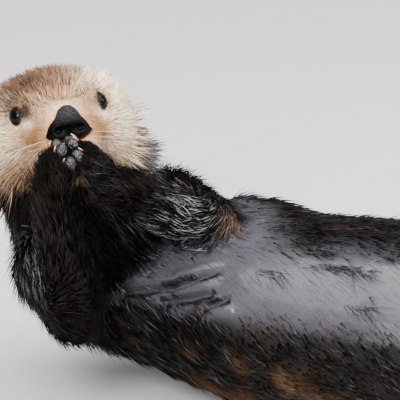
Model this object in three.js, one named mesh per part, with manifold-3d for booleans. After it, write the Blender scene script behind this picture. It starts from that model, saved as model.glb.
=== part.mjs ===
// A life-size sea otter, still, lying on its back with its head raised and turned to its right,
// and both forepaws held up under its chin. Millimetres. +X runs from head to tail, +Y is the
// animal's left, +Z is up, and the back rests on the plane z = 0. Each solid is the outer shape
// of its part, out to the tips of the coat.

import * as THREE from "three";
import { mergeVertices } from "three/addons/utils/BufferGeometryUtils.js";
import Module from "manifold-3d";

const wasm = await Module();
wasm.setup();

// ---- Driving dimensions -------------------------------------------------------------------

const HEAD_WIDTH = 158; // across the cheeks, with the coat
const HEAD_HEIGHT = 108; // from under the jaw to the crown
const MUZZLE_REACH = 66; // from the middle of the head to the nose pad
const EYE_RADIUS = 9.5;
const EYE_SPACING = 79; // between the middles of the two eyes
const NOSE_WIDTH = 48;
const NOSE_HEIGHT = 32;
const TRUNK_WIDTH = 246; // at the belly
const TRUNK_DEPTH = 200; // from back to belly
const TRUNK_START = -205; // the spine's end between the shoulders
const TRUNK_END = 365; // the spine's end at the rump
const PAW_LENGTH = 60; // from wrist to finger tips
const PAW_WIDTH = 42;
const FLIPPER_LENGTH = 185; // from heel to the longest toe
const FLIPPER_WIDTH = 104; // across the spread toes
const TAIL_LENGTH = 290;
const TAIL_WIDTH = 62;
const TAIL_THICKNESS = 34;
const GAP = 0.35; // the thin cut between neighbours

// ---- Soft shapes --------------------------------------------------------------------------

const vector = ([x, y, z]) => new THREE.Vector3(x, y, z);
const radians = THREE.MathUtils.degToRad;
const mirrored = ([x, y, z], side) => [x, y * side, z];

// An ellipsoid of flesh. Its value at a point is about the distance to its surface.
function mass(centre, radii, turn = [0, 0, 0]) {
  const middle = vector(centre);
  const size = vector(radii);
  const back = new THREE.Quaternion().setFromEuler(new THREE.Euler(...turn.map(radians))).invert();
  return (point) => {
    const local = point.clone().sub(middle).applyQuaternion(back);
    const inner = local.divide(size);
    const share = inner.length();
    const slope = inner.divide(size).length();
    return slope > 0 ? (share * (share - 1)) / slope : -Math.min(...radii);
  };
}

// A tapered bone with round ends.
function bone(from, to, startRadius, endRadius) {
  const start = vector(from);
  const along = vector(to).sub(start);
  return (point) => {
    const offset = point.clone().sub(start);
    const share = THREE.MathUtils.clamp(offset.dot(along) / along.lengthSq(), 0, 1);
    const radius = THREE.MathUtils.lerp(startRadius, endRadius, share);
    return offset.addScaledVector(along, -share).length() - radius;
  };
}

// One soft body of several masses, which run into each other over about the given blend.
function blended(shapes, blend) {
  return (point) => {
    let total = 0;
    for (const shape of shapes) total += Math.exp(-shape(point) / blend);
    return -blend * Math.log(total);
  };
}

// How far it is from a point inside a field to its surface, along a direction.
function reach(field, from, direction) {
  const step = 3;
  const at = (distance) => field(from.clone().addScaledVector(direction, distance));
  let outside = step;
  while (at(outside) < 0) outside += step;
  let inside = outside - step;
  for (let i = 0; i < 14; i++) {
    const middle = (inside + outside) / 2;
    if (at(middle) < 0) inside = middle;
    else outside = middle;
  }
  return outside;
}

// A closed skin round a field: rays leave a spine squarely along its length, and fan out
// at both of its ends. The sphere's own poles become the two ends.
function wrapped(field, spine, { sides, rings, caps = 0.25, across = [0, 1, 0] }) {
  const geometry = new THREE.SphereGeometry(1, sides, rings);
  const { position, uv } = geometry.attributes;
  const curve = new THREE.CatmullRomCurve3(spine.map(vector));
  for (let i = 0; i < position.count; i++) {
    const around = uv.getX(i) * 2 * Math.PI;
    const along = 1 - uv.getY(i);
    const share = THREE.MathUtils.clamp((along - caps) / (1 - 2 * caps), 0, 1);
    const startFan = Math.min(along / caps, 1);
    const endFan = Math.max((along - 1 + caps) / caps, 0);
    const tilt = ((startFan + endFan) * Math.PI) / 2;
    const tangent = curve.getTangentAt(share);
    const lift = tangent.clone().cross(vector(across)).normalize();
    const side = lift.clone().cross(tangent);
    const direction = tangent.multiplyScalar(-Math.cos(tilt));
    direction.addScaledVector(side, -Math.cos(around) * Math.sin(tilt));
    direction.addScaledVector(lift, Math.sin(around) * Math.sin(tilt)).normalize();
    const from = curve.getPointAt(share);
    from.addScaledVector(direction, reach(field, from, direction));
    position.setXYZ(i, from.x, from.y, from.z);
  }
  return solidFrom(geometry);
}

// ---- Solids: joining, cutting and showing ----------------------------------------------------

function solidFrom(geometry) {
  geometry.deleteAttribute("normal");
  geometry.deleteAttribute("uv");
  const merged = mergeVertices(geometry, 1e-3);
  const vertProperties = merged.attributes.position.array;
  const triVerts = new Uint32Array(merged.index.array);
  const solid = new wasm.Manifold(new wasm.Mesh({ numProp: 3, vertProperties, triVerts }));
  if (solid.volume() > 0) return solid;
  return new wasm.Manifold(
    new wasm.Mesh({ numProp: 3, vertProperties, triVerts: triVerts.reverse() }),
  );
}

// Makes a shape and the same shape grown by the gap, which cuts its neighbours.
function pair(make) {
  return { solid: make(0), cutter: make(GAP) };
}

const grownField = (field, grow) => (point) => field(point) - grow;

function softPair(field, spine, options) {
  return pair((grow) => wrapped(grownField(field, grow), spine, options));
}

function largest(solid) {
  return solid.decompose().sort((a, b) => b.volume() - a.volume())[0];
}

function cutBy(solid, ...cutters) {
  return largest(cutters.reduce((rest, cutter) => rest.subtract(cutter), solid));
}

function boxSolid(size, centre) {
  const box = new THREE.BoxGeometry(...size).translate(...centre);
  return solidFrom(box);
}

const placed = (solid, group) => {
  group.updateMatrix();
  return solid.transform(group.matrix.elements);
};

const belowFloor = boxSolid([3000, 3000, 200], [0, 0, -100]);

// Splits a long body with thin square cuts at the given places along X, head end first.
function splitAlong(solid, places) {
  const slabs = places.map((x) => boxSolid([GAP, 800, 800], [x, 0, 0]));
  const pieces = slabs.reduce((rest, slab) => rest.subtract(slab), solid).decompose();
  const middle = (piece) => piece.boundingBox().min[0] + piece.boundingBox().max[0];
  const whole = pieces.filter((piece) => piece.volume() > 1000);
  return whole.sort((a, b) => middle(a) - middle(b));
}

function meshOf(name, solid, material) {
  const { vertProperties, triVerts } = solid.getMesh();
  const geometry = new THREE.BufferGeometry();
  geometry.setAttribute("position", new THREE.BufferAttribute(vertProperties, 3));
  geometry.setIndex(new THREE.BufferAttribute(triVerts, 1));
  geometry.computeVertexNormals();
  const mesh = new THREE.Mesh(geometry, material);
  mesh.name = name;
  return mesh;
}

// ---- Materials ------------------------------------------------------------------------------

const finish = (color, roughness) =>
  new THREE.MeshStandardMaterial({ color, roughness, metalness: 0 });

const paleFur = finish(0xcdbba6, 0.9);
const greyFur = finish(0x7f7a76, 0.85);
const wetFur = finish(0x2a2320, 0.35);
const padLeather = finish(0x37363a, 0.6);
const noseLeather = finish(0x1f1f21, 0.55);
const eyeGloss = finish(0x0b0908, 0.08);
const claw = finish(0xa98c76, 0.4);

// ---- Head, in its own frame: +X out of the face, +Y its left, +Z the crown -------------------

const head = new THREE.Group();
head.position.set(-249, -25, 270);
const HEAD_TURN = -61; // from the tail towards the animal's right
const HEAD_LIFT = 29.2; // the face looks up
const HEAD_TILT = 6.6; // the crown leans to the head's right
head.rotation.set(radians(HEAD_TILT), radians(-HEAD_LIFT), radians(HEAD_TURN), "ZYX");

const halfWidth = HEAD_WIDTH / 2;
const halfHeight = HEAD_HEIGHT / 2;
const bothSides = (make) => [make(1), make(-1)];

const headField = blended(
  [
    mass([-22, 0, 6], [56, halfWidth - 26, halfHeight]), // cranium
    ...bothSides((s) => mass([-22, s * 34, 18], [40, halfWidth - 38, 34])), // temples
    ...bothSides((s) => mass([-8, s * 38, -15], [40, halfWidth - 39, 36])), // cheeks
    ...bothSides((s) => mass([-36, s * 51, -38], [34, halfWidth - 41, 29])), // ruff
    mass([24, 0, 0], [34, 24, 22], [0, 14, 0]), // bridge of the muzzle
    mass([30, 0, -24], [31, 35, 24]), // muzzle
    ...bothSides((s) => mass([44, s * 16, -29], [19, 20, 16])), // whisker pads
    mass([24, 0, -46], [32, 23, 14]), // chin
    mass([-50, 0, -20], [40, 52, 44]), // nape
  ],
  5,
);
const headWhole = softPair(headField, [[-22, 0, -8], [12, 0, -14]], {
  sides: 24,
  rings: 14,
  caps: 0.42,
});

// Each eye is a ball that looks outwards and a little up.
const eyePlace = (side) => [22.5, side * (EYE_SPACING / 2 - 3), 8.5];
const eye = (side, grow) =>
  solidFrom(new THREE.SphereGeometry(EYE_RADIUS + grow, 10, 7).translate(...eyePlace(side)));

// The nose pad: a broad rounded top, a wing to each side and a lobe under each nostril.
const nosePad = blended(
  [
    mass([54, 2, -1.5], [9, 10, NOSE_HEIGHT / 2 - 7]),
    mass([57, 1, -9], [10.5, 13.5, 9.5]),
    ...bothSides((s) => mass([55, s * (NOSE_WIDTH / 2 - 11), -15], [9, 11, 6], [s * -14, 0, 0])),
    ...bothSides((s) => mass([57, s * 8.5, -20.5], [8.5, 8.5, 6.5])),
  ],
  1.4,
);
const noseWhole = softPair(nosePad, [[55, 0, -10], [57, 0, -10]], { sides: 16, rings: 8, caps: 0.48 });
const nostril = (side) => {
  const hole = new THREE.SphereGeometry(1, 8, 5).scale(5, 4.2, 2.4);
  hole.rotateZ(radians(side * 35)).rotateX(radians(side * 24));
  return solidFrom(hole.translate(MUZZLE_REACH, side * 11, -16));
};

// A small thick ear, low on the side of the head, hollowed on its front.
function earGroup(side) {
  const group = new THREE.Group();
  group.position.set(-16, side * 66, -17);
  group.rotation.set(radians(side * 10), radians(12), radians(side * 104), "ZYX");
  return group;
}
function earSolid(grow) {
  const shell = new THREE.SphereGeometry(1, 8, 6).scale(15 + grow, 11 + grow, 6 + grow);
  const bowl = new THREE.SphereGeometry(1, 7, 4).scale(10, 7, 4).translate(2, 0, 6);
  const whole = solidFrom(shell.translate(8, 0, 0));
  return grow > 0 ? whole : whole.subtract(solidFrom(bowl.translate(8, 0, 0)));
}

const ears = bothSides((side) => ({ side, group: earGroup(side) }));
const headSolid = cutBy(
  headWhole.solid,
  noseWhole.cutter,
  ...bothSides((side) => eye(side, GAP)),
  ...ears.map(({ group }) => placed(earSolid(GAP), group)),
);
head.add(meshOf("head", headSolid, paleFur));
head.add(meshOf("nose", cutBy(noseWhole.solid, nostril(1), nostril(-1)), noseLeather));
const sideName = (side) => (side > 0 ? "left" : "right");
for (const { side, group } of ears) {
  head.add(meshOf("eye_" + sideName(side), eye(side, 0), eyeGloss));
  group.add(meshOf("ear_" + sideName(side), earSolid(0), greyFur));
  head.add(group);
}

// ---- Neck and trunk ---------------------------------------------------------------------------

const headCutter = placed(headWhole.cutter, head);
const neckSpine = [
  [-206, 0, 118],
  [-240, 8, 172],
  [-264, 8, 222],
];
const neckRadii = [74, 70, 60];
const neckField = blended(
  [
    bone(neckSpine[0], neckSpine[1], neckRadii[0], neckRadii[1]),
    bone(neckSpine[1], neckSpine[2], neckRadii[1], neckRadii[2]),
  ],
  8,
);
const neckWhole = softPair(neckField, neckSpine, { sides: 14, rings: 7, caps: 0.3 });
const neckSolid = cutBy(neckWhole.solid, headCutter);

// The trunk's spine: where along X it has which share of its full depth, and how far its
// back curves up off the floor towards the raised neck.
const TRUNK_PROFILE = [
  [TRUNK_START + 20, 0.62, 40],
  [-110, 0.78, 24],
  [-30, 0.95, 4],
  [110, 1, 0],
  [230, 0.94, 0],
  [TRUNK_END - 35, 0.76, 0],
];
const SETTLE = 4; // how far the soft back would sink below the floor
const trunkStation = ([x, share, lift]) => {
  const radius = (share * TRUNK_DEPTH) / 2;
  return { place: [x, 0, radius - SETTLE + lift], radius };
};
const widened = (shape, factor) => (point) =>
  shape(new THREE.Vector3(point.x, point.y / factor, point.z)) * Math.sqrt(factor);
const trunkStations = TRUNK_PROFILE.map(trunkStation);
const trunkLengths = trunkStations.slice(1).map((end, i) => {
  const start = trunkStations[i];
  return widened(bone(start.place, end.place, start.radius, end.radius), TRUNK_WIDTH / TRUNK_DEPTH);
});
const trunkField = blended(
  [
    (point) => Math.min(...trunkLengths.map((length) => length(point))),
    mass([-80, 56, 158], [44, 34, 34]), // loose fold behind the left arm
  ],
  7,
);
const trunkWhole = softPair(trunkField, [[TRUNK_START, 0, 88], [0, 0, 92], [TRUNK_END, 0, 84]], {
  sides: 24,
  rings: 20,
  caps: 0.18,
});
const trunkSolid = cutBy(trunkWhole.solid, neckWhole.cutter, belowFloor);
const CHEST_END = -72; // behind the elbows
const BELLY_END = 222; // in front of the hips
const trunk = splitAlong(trunkSolid, [CHEST_END, BELLY_END]).map((piece, i) =>
  meshOf(["chest", "belly", "hips"][i], piece, wetFur),
);

// ---- Forelimbs --------------------------------------------------------------------------------

// The left arm crosses the chest, and the right arm stands up beside it.
const arms = [
  { side: 1, shoulder: [-163, 42, 166], elbow: [-106, -8, 176], wrist: [-166, -105, 248] },
  { side: -1, shoulder: [-232, -76, 150], elbow: [-199, -122, 124], wrist: [-212, -131, 232] },
];
const UPPER_ARM_RADII = [44, 32];
const FOREARM_RADII = [31, 19];
// Where the fingers point and which way the back of the paw faces.
const pawAims = {
  left: { fingers: [-0.69, 0.05, 0.72], back: [0.59, 0.62, 0.51] },
  right: { fingers: [-0.11, 0.15, 0.98], back: [-0.76, -0.65, 0.01] },
};
const FINGERS = 5;

function aimed(position, { fingers, back }) {
  const x = vector(fingers).normalize();
  const y = vector(back).cross(x).normalize();
  const group = new THREE.Group();
  group.quaternion.setFromRotationMatrix(new THREE.Matrix4().makeBasis(x, y, x.clone().cross(y)));
  group.position.set(...position);
  return group;
}

// Finger i of a paw: where its tip is, from one side of the paw to the other. The outer
// fingers are shorter, and curl towards the palm.
function fingerTip(i) {
  const fan = i / (FINGERS - 1) - 0.5;
  return [PAW_LENGTH - 12 - 56 * fan * fan, fan * (PAW_WIDTH - 8), -3 - 24 * fan * fan];
}

// The paw without its fingers: a thick soft mitten with one palm pad.
const mittenField = blended(
  [
    mass([4, 0, 0], [20, PAW_WIDTH / 2 - 2, 16]), // wrist
    mass([25, 0, 0], [26, PAW_WIDTH / 2, 12]), // back of the paw
    mass([24, 0, -8], [13, 13, 6]), // palm pad
  ],
  1.8,
);
const finger = (i, grow) => {
  const [x, y, z] = fingerTip(i);
  const ball = new THREE.SphereGeometry(1, 6, 5).rotateZ(Math.PI / 2);
  return solidFrom(ball.scale(11 + grow, 6 + grow, 7.5 + grow).translate(x, y, z));
};
const pawWhole = pair((grow) => {
  const mitten = wrapped(grownField(mittenField, grow), [[8, 0, 0], [30, 0, -1]], {
    sides: 12,
    rings: 6,
    caps: 0.36,
  });
  const fingers = Array.from({ length: FINGERS }, (_, i) => finger(i, grow));
  return fingers.reduce((whole, one) => whole.add(one), mitten);
});

// A short curved claw along +X, rooted at the origin.
function clawSolid(length, root, grow) {
  const shape = blended(
    [
      bone([-2, 0, 0], [length * 0.5, 0, 0.3], root + grow, root * 0.7 + grow),
      bone([length * 0.5, 0, 0.3], [length, 0, -length * 0.22], root * 0.7 + grow, 0.35 + grow),
    ],
    0.4,
  );
  return wrapped(shape, [[0, 0, 0], [length * 0.8, 0, 0]], { sides: 4, rings: 4, caps: 0.3 });
}

function clawAt([x, y, z], length, root, spread, grow) {
  const turn = new THREE.Matrix4().makeRotationZ(radians(spread));
  const solid = clawSolid(length, root, grow).transform(turn.elements);
  return solid.translate([x, y, z]);
}

const pieces = [];
const neckAndTrunk = [neckWhole.cutter, trunkWhole.cutter];
const otherPaw = []; // the first paw, which the second one presses against
for (const { side, shoulder, elbow, wrist } of arms) {
  const name = sideName(side);
  const upper = softPair(
    bone(shoulder, elbow, ...UPPER_ARM_RADII),
    [shoulder, elbow],
    { sides: 12, rings: 8, caps: 0.36, across: [0, 0, 1] },
  );
  const lower = softPair(
    bone(elbow, wrist, ...FOREARM_RADII),
    [elbow, wrist],
    { sides: 12, rings: 8, caps: 0.3, across: [1, 0, 0] },
  );
  const upperSolid = cutBy(upper.solid, ...neckAndTrunk, headCutter);
  const lowerSolid = cutBy(lower.solid, upper.cutter, ...neckAndTrunk, headCutter);
  pieces.push(meshOf("upper_arm_" + name, upperSolid, wetFur));
  pieces.push(meshOf("forearm_" + name, lowerSolid, wetFur));

  const paw = aimed(wrist, pawAims[name]);
  paw.updateMatrix();
  const inPaw = paw.matrix.clone().invert().elements;
  const clawPlaces = Array.from({ length: FINGERS }, (_, i) => {
    const [x, y, z] = fingerTip(i);
    return { place: [x + 9, y, z + 3.6], spread: y };
  });
  const claws = (grow) =>
    clawPlaces.map(({ place, spread }) => clawAt(place, 5, 1.5, spread, grow));
  const armCutters = [lower.cutter, headCutter, ...otherPaw].map((cutter) => cutter.transform(inPaw));
  const pawSolid = cutBy(pawWhole.solid, ...armCutters, ...claws(GAP));
  paw.add(meshOf("forepaw_" + name, pawSolid, padLeather));
  claws(0).forEach((solid, i) => paw.add(meshOf(`fore_claw_${name}_${i + 1}`, solid, claw)));
  otherPaw.push(pawWhole.cutter.transform(paw.matrix.elements));
  pieces.push(paw);
}

// ---- Hind limbs -------------------------------------------------------------------------------

const hip = [322, 46, 84];
const knee = [388, 78, 92];
const ankle = [454, 98, 62];
const THIGH_RADII = [60, 43];
const SHANK_RADII = [37, 23];
const flipperAim = { fingers: [0.7, 0.26, 0.66], back: [-0.66, 0.1, 0.74] };
const TOES = 5;

// The webbed foot: heel at the origin, toes along +X, the little toe longest and outermost.
// A toe's place goes across from -1 to 1, and lies on the ridge of its bone.
const toePlace = (i) => -0.86 + (1.72 * i) / (TOES - 1);
const toeReach = (across, side) => FLIPPER_LENGTH * (0.85 + 0.15 * across * side);
const footSpread = (along) => {
  const opened = THREE.MathUtils.smoothstep(along, -0.1, 0.95);
  return THREE.MathUtils.lerp(21, FLIPPER_WIDTH / 2, opened);
};
const footArch = (along, across) => -9 * along * across * across;

function flipperSolid(side) {
  const geometry = new THREE.BoxGeometry(1, 1, 1, 4, 14, 1);
  const { position } = geometry.attributes;
  for (let i = 0; i < position.count; i++) {
    const along = position.getX(i) + 0.5;
    const across = position.getY(i) * 2;
    const upper = Math.sign(position.getZ(i));
    const ridge = 0.5 + 0.5 * Math.cos(((across + 0.86) / 1.72) * (TOES - 1) * 2 * Math.PI);
    const rim = (1 - Math.abs(across) ** 6) * (1 - Math.abs(2 * along - 1) ** 10);
    const thick = 1.2 + (15 - 11 * along + 3.4 * ridge * along) * Math.sqrt(rim);
    const x = -18 + (toeReach(across, side) + 9 * ridge * along + 18) * along;
    const y = across * footSpread(along);
    position.setXYZ(i, x, y, upper * thick + footArch(along, across));
  }
  return solidFrom(geometry);
}

for (const side of [1, -1]) {
  const name = sideName(side);
  const at = (point) => mirrored(point, side);
  const thigh = softPair(bone(at(hip), at(knee), ...THIGH_RADII), [at(hip), at(knee)], {
    sides: 12,
    rings: 8,
    caps: 0.36,
    across: [0, 0, 1],
  });
  const shank = softPair(bone(at(knee), at(ankle), ...SHANK_RADII), [at(knee), at(ankle)], {
    sides: 12,
    rings: 8,
    caps: 0.3,
    across: [0, 0, 1],
  });
  const thighSolid = cutBy(thigh.solid, trunkWhole.cutter, belowFloor);
  const shankSolid = cutBy(shank.solid, thigh.cutter, trunkWhole.cutter, belowFloor);
  pieces.push(meshOf("thigh_" + name, thighSolid, wetFur));
  pieces.push(meshOf("shank_" + name, shankSolid, wetFur));

  const { fingers, back } = flipperAim;
  const foot = aimed(at(ankle), { fingers: at(fingers), back: at(back) });
  foot.updateMatrix();
  const inFoot = foot.matrix.clone().invert().elements;
  const claws = (grow) =>
    Array.from({ length: TOES }, (_, i) => {
      const across = toePlace(i);
      const tip = toeReach(across, side) + 9;
      const place = [tip - 5, across * footSpread(1), 2.5 + footArch(1, across)];
      return clawAt(place, 9, 2, across * 8, grow);
    });
  const footSolid = cutBy(flipperSolid(side), shank.cutter.transform(inFoot), ...claws(GAP));
  foot.add(meshOf("hind_flipper_" + name, footSolid, padLeather));
  claws(0).forEach((solid, i) => foot.add(meshOf(`hind_claw_${name}_${i + 1}`, solid, claw)));
  pieces.push(foot);
}

// ---- Tail -------------------------------------------------------------------------------------

const TAIL_LINKS = 6;
const tailField = blended(
  Array.from({ length: TAIL_LINKS }, (_, i) => {
    const along = i / (TAIL_LINKS - 1);
    const taper = 1 - 0.34 * along * along;
    const place = [410 + along * (TAIL_LENGTH - 45), 10 * along * along, 13 + 22 * (1 - along) ** 2];
    return mass(place, [46, (TAIL_WIDTH / 2) * taper, (TAIL_THICKNESS / 2) * taper]);
  }),
  4,
);
const tailSpine = [[410, 0, 34], [520, 2, 20], [405 + TAIL_LENGTH - 50, 9, 13]];
const tailWhole = wrapped(tailField, tailSpine, { sides: 10, rings: 14, caps: 0.2 });
const tailSolid = cutBy(tailWhole, trunkWhole.cutter, belowFloor);
const TAIL_CUT = 545;
splitAlong(tailSolid, [TAIL_CUT]).forEach((piece, i) => {
  pieces.push(meshOf(["tail_base", "tail_tip"][i], piece, wetFur));
});

// ---- The whole animal, centred over its own middle ----------------------------------------------

const otter = new THREE.Group();
otter.add(head, meshOf("neck", neckSolid, greyFur), ...trunk, ...pieces);
const bounds = new THREE.Box3().setFromObject(otter, true);
const middle = bounds.getCenter(new THREE.Vector3());
otter.position.set(-middle.x, -middle.y, 0);

const part = new THREE.Group();
part.add(otter);
export default part;
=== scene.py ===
# %% [markdown]
# # A sea otter at rest
# A sea otter floats on its back, with its head raised and its forepaws tucked under its chin.
# Here it lies on a floor, at life size. This script dresses its plain solids: one skin over
# the whole body, a coat of mesh tufts on the skin, and eyes, nose, claws and whiskers of
# their own.

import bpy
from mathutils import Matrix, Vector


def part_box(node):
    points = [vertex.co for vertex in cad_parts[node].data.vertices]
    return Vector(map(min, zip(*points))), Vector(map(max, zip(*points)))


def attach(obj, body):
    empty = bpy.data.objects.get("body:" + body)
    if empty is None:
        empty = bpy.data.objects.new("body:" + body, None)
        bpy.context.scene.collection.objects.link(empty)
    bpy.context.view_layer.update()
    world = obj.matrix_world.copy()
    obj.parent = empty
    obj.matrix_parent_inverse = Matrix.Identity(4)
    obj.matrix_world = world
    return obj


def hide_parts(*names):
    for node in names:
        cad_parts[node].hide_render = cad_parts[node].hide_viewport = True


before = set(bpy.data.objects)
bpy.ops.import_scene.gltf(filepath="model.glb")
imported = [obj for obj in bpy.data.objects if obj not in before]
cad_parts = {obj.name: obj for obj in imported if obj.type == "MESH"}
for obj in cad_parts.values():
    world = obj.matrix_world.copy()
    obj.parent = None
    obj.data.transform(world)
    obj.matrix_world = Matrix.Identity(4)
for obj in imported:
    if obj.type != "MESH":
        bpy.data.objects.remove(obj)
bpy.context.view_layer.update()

import math

import bmesh
import bpy
import numpy as np
from mathutils import Matrix, Vector, noise
from mathutils.bvhtree import BVHTree

MM = 0.001
SIDES = ("left", "right")

# %% [markdown]
# ## Where things are
# Every place comes from the frame. The head has axes of its own, because the head is turned
# and lifted: `face` points out of the face, `left` to the animal's left and `crown` up
# through the crown. Two pairs of matching places, the eyes and the ears, fix all three.

# %% Landmarks


def unit(vector):
    return vector / np.linalg.norm(vector)


def middle(node):
    low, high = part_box(node)
    return np.array(low + high) / 2


def corners_of(node):
    return np.array([v.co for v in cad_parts[node].data.vertices])


EYE_PLACE = np.array((22.5, 36.5, 8.5)) * MM  # in the head's own axes
EYE_RADIUS = (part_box("eye_left")[1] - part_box("eye_left")[0])[2] / 2
EAR_TO_EYE = math.radians(33.9)  # how steeply the line from ears to eyes rises

pairs = {part: {side: middle(f"{part}_{side}") for side in SIDES} for part in ("eye", "ear")}
left = unit(sum(pairs[part]["left"] - pairs[part]["right"] for part in pairs))
between = {part: (pairs[part]["left"] + pairs[part]["right"]) / 2 for part in pairs}
slope = between["eye"] - between["ear"]
slope = unit(slope - left * slope.dot(left))
rise = np.cross(slope, left)
face = slope * math.cos(EAR_TO_EYE) - rise * math.sin(EAR_TO_EYE)
crown = slope * math.sin(EAR_TO_EYE) + rise * math.cos(EAR_TO_EYE)
head_axes = np.stack([face, left, crown])
head_middle = between["eye"] - face * EYE_PLACE[0] - crown * EYE_PLACE[2]


def in_head(points):
    """Points in the head's own axes, in millimetres."""
    return (points - head_middle) @ head_axes.T / MM


def from_head(places):
    """The reverse: a place in the head's axes, in millimetres, as a point in the scene."""
    return np.asarray(places) * MM @ head_axes + head_middle


print("head middle:", head_middle.round(4), "face:", face.round(3))

# %% [markdown]
# ## Camera, floor and light
# A long lens from a few metres away keeps the animal's proportions. The light is that of a
# pale studio: one large soft box overhead, weaker ones in front and behind, and a grey sky.
# Wet fur shows mostly what it reflects, so the boxes are large.

# %% Camera
VIEW_AZIMUTH, VIEW_ELEVATION = math.radians(18), math.radians(22)
VIEW_DISTANCE = 2.8
VIEW_SCALE = 0.372  # metres that the view spans at the animal
VIEW_CENTRE = head_middle + np.array((137.2, 8.1, -64.1)) * MM

back = Vector(
    (
        math.sin(VIEW_AZIMUTH) * math.cos(VIEW_ELEVATION),
        -math.cos(VIEW_AZIMUTH) * math.cos(VIEW_ELEVATION),
        math.sin(VIEW_ELEVATION),
    )
)
camera = bpy.data.objects.new("camera", bpy.data.cameras.new("camera"))
camera.data.sensor_width = 36
camera.data.lens = 36 * VIEW_DISTANCE / VIEW_SCALE
camera.location = Vector(VIEW_CENTRE) + back * VIEW_DISTANCE
camera.rotation_euler = back.to_track_quat("Z", "Y").to_euler()
bpy.context.collection.objects.link(camera)
bpy.context.scene.camera = camera
print("camera:", [round(value, 3) for value in camera.location], "lens:", round(camera.data.lens))

# %% Floor and lights


def soft_box(name, place, aim, size, power, colour=(1, 1, 1)):
    """A square area light of the given size in metres, turned towards a point."""
    lamp = bpy.data.lights.new(name, "AREA")
    lamp.size, lamp.energy, lamp.color = size, power, colour
    holder = bpy.data.objects.new(name, lamp)
    holder.location = place
    holder.rotation_euler = (Vector(place) - Vector(aim)).to_track_quat("Z", "Y").to_euler()
    bpy.context.collection.objects.link(holder)


ANIMAL = (-0.2, 0, 0.12)
soft_box("overhead", (0.2, -0.4, 2.2), ANIMAL, 3.2, 290, (1.0, 0.98, 0.96))
soft_box("front", (-0.3, -2.4, 1.7), ANIMAL, 0.9, 150, (1.0, 0.96, 0.91))
soft_box("tail_side", (2.0, 0.6, 1.3), ANIMAL, 1.0, 70, (0.95, 0.98, 1.0))

sky = bpy.data.worlds.new("sky")
sky.use_nodes = True
sky.node_tree.nodes["Background"].inputs["Color"].default_value = (0.80, 0.86, 0.92, 1)
sky.node_tree.nodes["Background"].inputs["Strength"].default_value = 0.3
bpy.context.scene.world = sky

# %% [markdown]
# ## Writing node graphs as sums
# Shaders and Geometry Nodes are both graphs of nodes. A small class wraps one output socket,
# so that a graph is written as Python: `a * 0.5 + noise` adds the two Math nodes. Everything
# else comes from `Graph.node`, which takes the node's type, its settings and its inputs.

# %% Graph helper


class Value:
    """One output socket of a graph, with operators that add Math nodes."""

    def __init__(self, graph, socket):
        self.graph, self.socket = graph, socket

    def math(self, operation, *inputs):
        return self.graph.node("ShaderNodeMath", {"operation": operation}, *inputs)

    def also(self, name):
        """Another output of the same node."""
        return Value(self.graph, self.socket.node.outputs[name])

    def __add__(self, other):
        return self.math("ADD", self, other)

    def __sub__(self, other):
        return self.math("SUBTRACT", self, other)

    def __rsub__(self, other):
        return self.math("SUBTRACT", other, self)

    def __mul__(self, other):
        return self.math("MULTIPLY", self, other)

    def __pow__(self, other):
        return self.math("POWER", self, other)

    __radd__, __rmul__ = __add__, __mul__


class Graph:
    """A node tree that is written node by node."""

    def __init__(self, tree):
        self.tree = tree

    @staticmethod
    def pick(sockets, key):
        """A socket by its order or its name, among those that the settings left in use."""
        used = [socket for socket in sockets if socket.enabled]
        if isinstance(key, int):
            return used[key]
        return next(socket for socket in used if socket.name == key.replace("_", " "))

    def node(self, kind, settings=None, *inputs, output=0, **named):
        made = self.tree.nodes.new(kind)
        for key, value in (settings or {}).items():
            if key == "stops":
                self.set_stops(made.color_ramp, value)
            else:
                setattr(made, key, value)
        for key, value in [*enumerate(inputs), *named.items()]:
            self.feed(self.pick(made.inputs, key), value)
        return Value(self, self.pick(made.outputs, output))

    def feed(self, socket, value):
        if isinstance(value, Value):
            self.tree.links.new(value.socket, socket)
        elif value is not None:
            socket.default_value = value

    @staticmethod
    def set_stops(ramp, stops):
        while len(ramp.elements) < len(stops):
            ramp.elements.new(0.5)
        for element, (place, colour) in zip(ramp.elements, stops):
            element.position = place
            element.color = (*colour, 1)

    def vector(self, operation, *inputs, **named):
        return self.node("ShaderNodeVectorMath", {"operation": operation}, *inputs, **named)

    def scaled(self, vector, factor):
        """A vector made longer or shorter, or a colour made lighter or darker."""
        return self.vector("SCALE", vector, Scale=factor)

    def noise(self, where, scale, detail=2.0, output="Fac"):
        return self.node(
            "ShaderNodeTexNoise", None, output=output, Vector=where, Scale=scale, Detail=detail
        )

    def cells(self, where, scale):
        """The distance to the nearest of many scattered points, for pebbled skin."""
        return self.node("ShaderNodeTexVoronoi", None, Vector=where, Scale=scale, output="Distance")

    def remap(self, value, low, high, new_low=0.0, new_high=1.0):
        return self.node("ShaderNodeMapRange", None, value, low, high, new_low, new_high)


class Shader(Graph):
    """A material whose graph ends in one Principled shader."""

    def __init__(self, name, **constants):
        self.material = bpy.data.materials.new(name)
        self.material.use_nodes = True
        super().__init__(self.material.node_tree)
        self.principled = self.tree.nodes["Principled BSDF"]
        for socket, value in constants.items():
            self.principled.inputs[socket.replace("_", " ")].default_value = value

    def attribute(self, name, output="Fac"):
        return self.node("ShaderNodeAttribute", {"attribute_name": name}, output=output)

    def place(self):
        return self.node("ShaderNodeTexCoord", output="Object")

    def stretched(self, where, scale):
        return self.node("ShaderNodeMapping", None, where, Scale=scale)

    def mix(self, factor, first, second):
        colours = [c if isinstance(c, Value) else (*c, 1) for c in (first, second)]
        return self.node("ShaderNodeMix", {"data_type": "RGBA"}, factor, *colours)

    def bump(self, height, distance, strength=1.0):
        return self.node("ShaderNodeBump", None, Height=height, Distance=distance, Strength=strength)

    def finish(self, **links):
        for socket, value in links.items():
            self.feed(self.principled.inputs[socket.replace("_", " ")], value)
        return self.material


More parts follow.
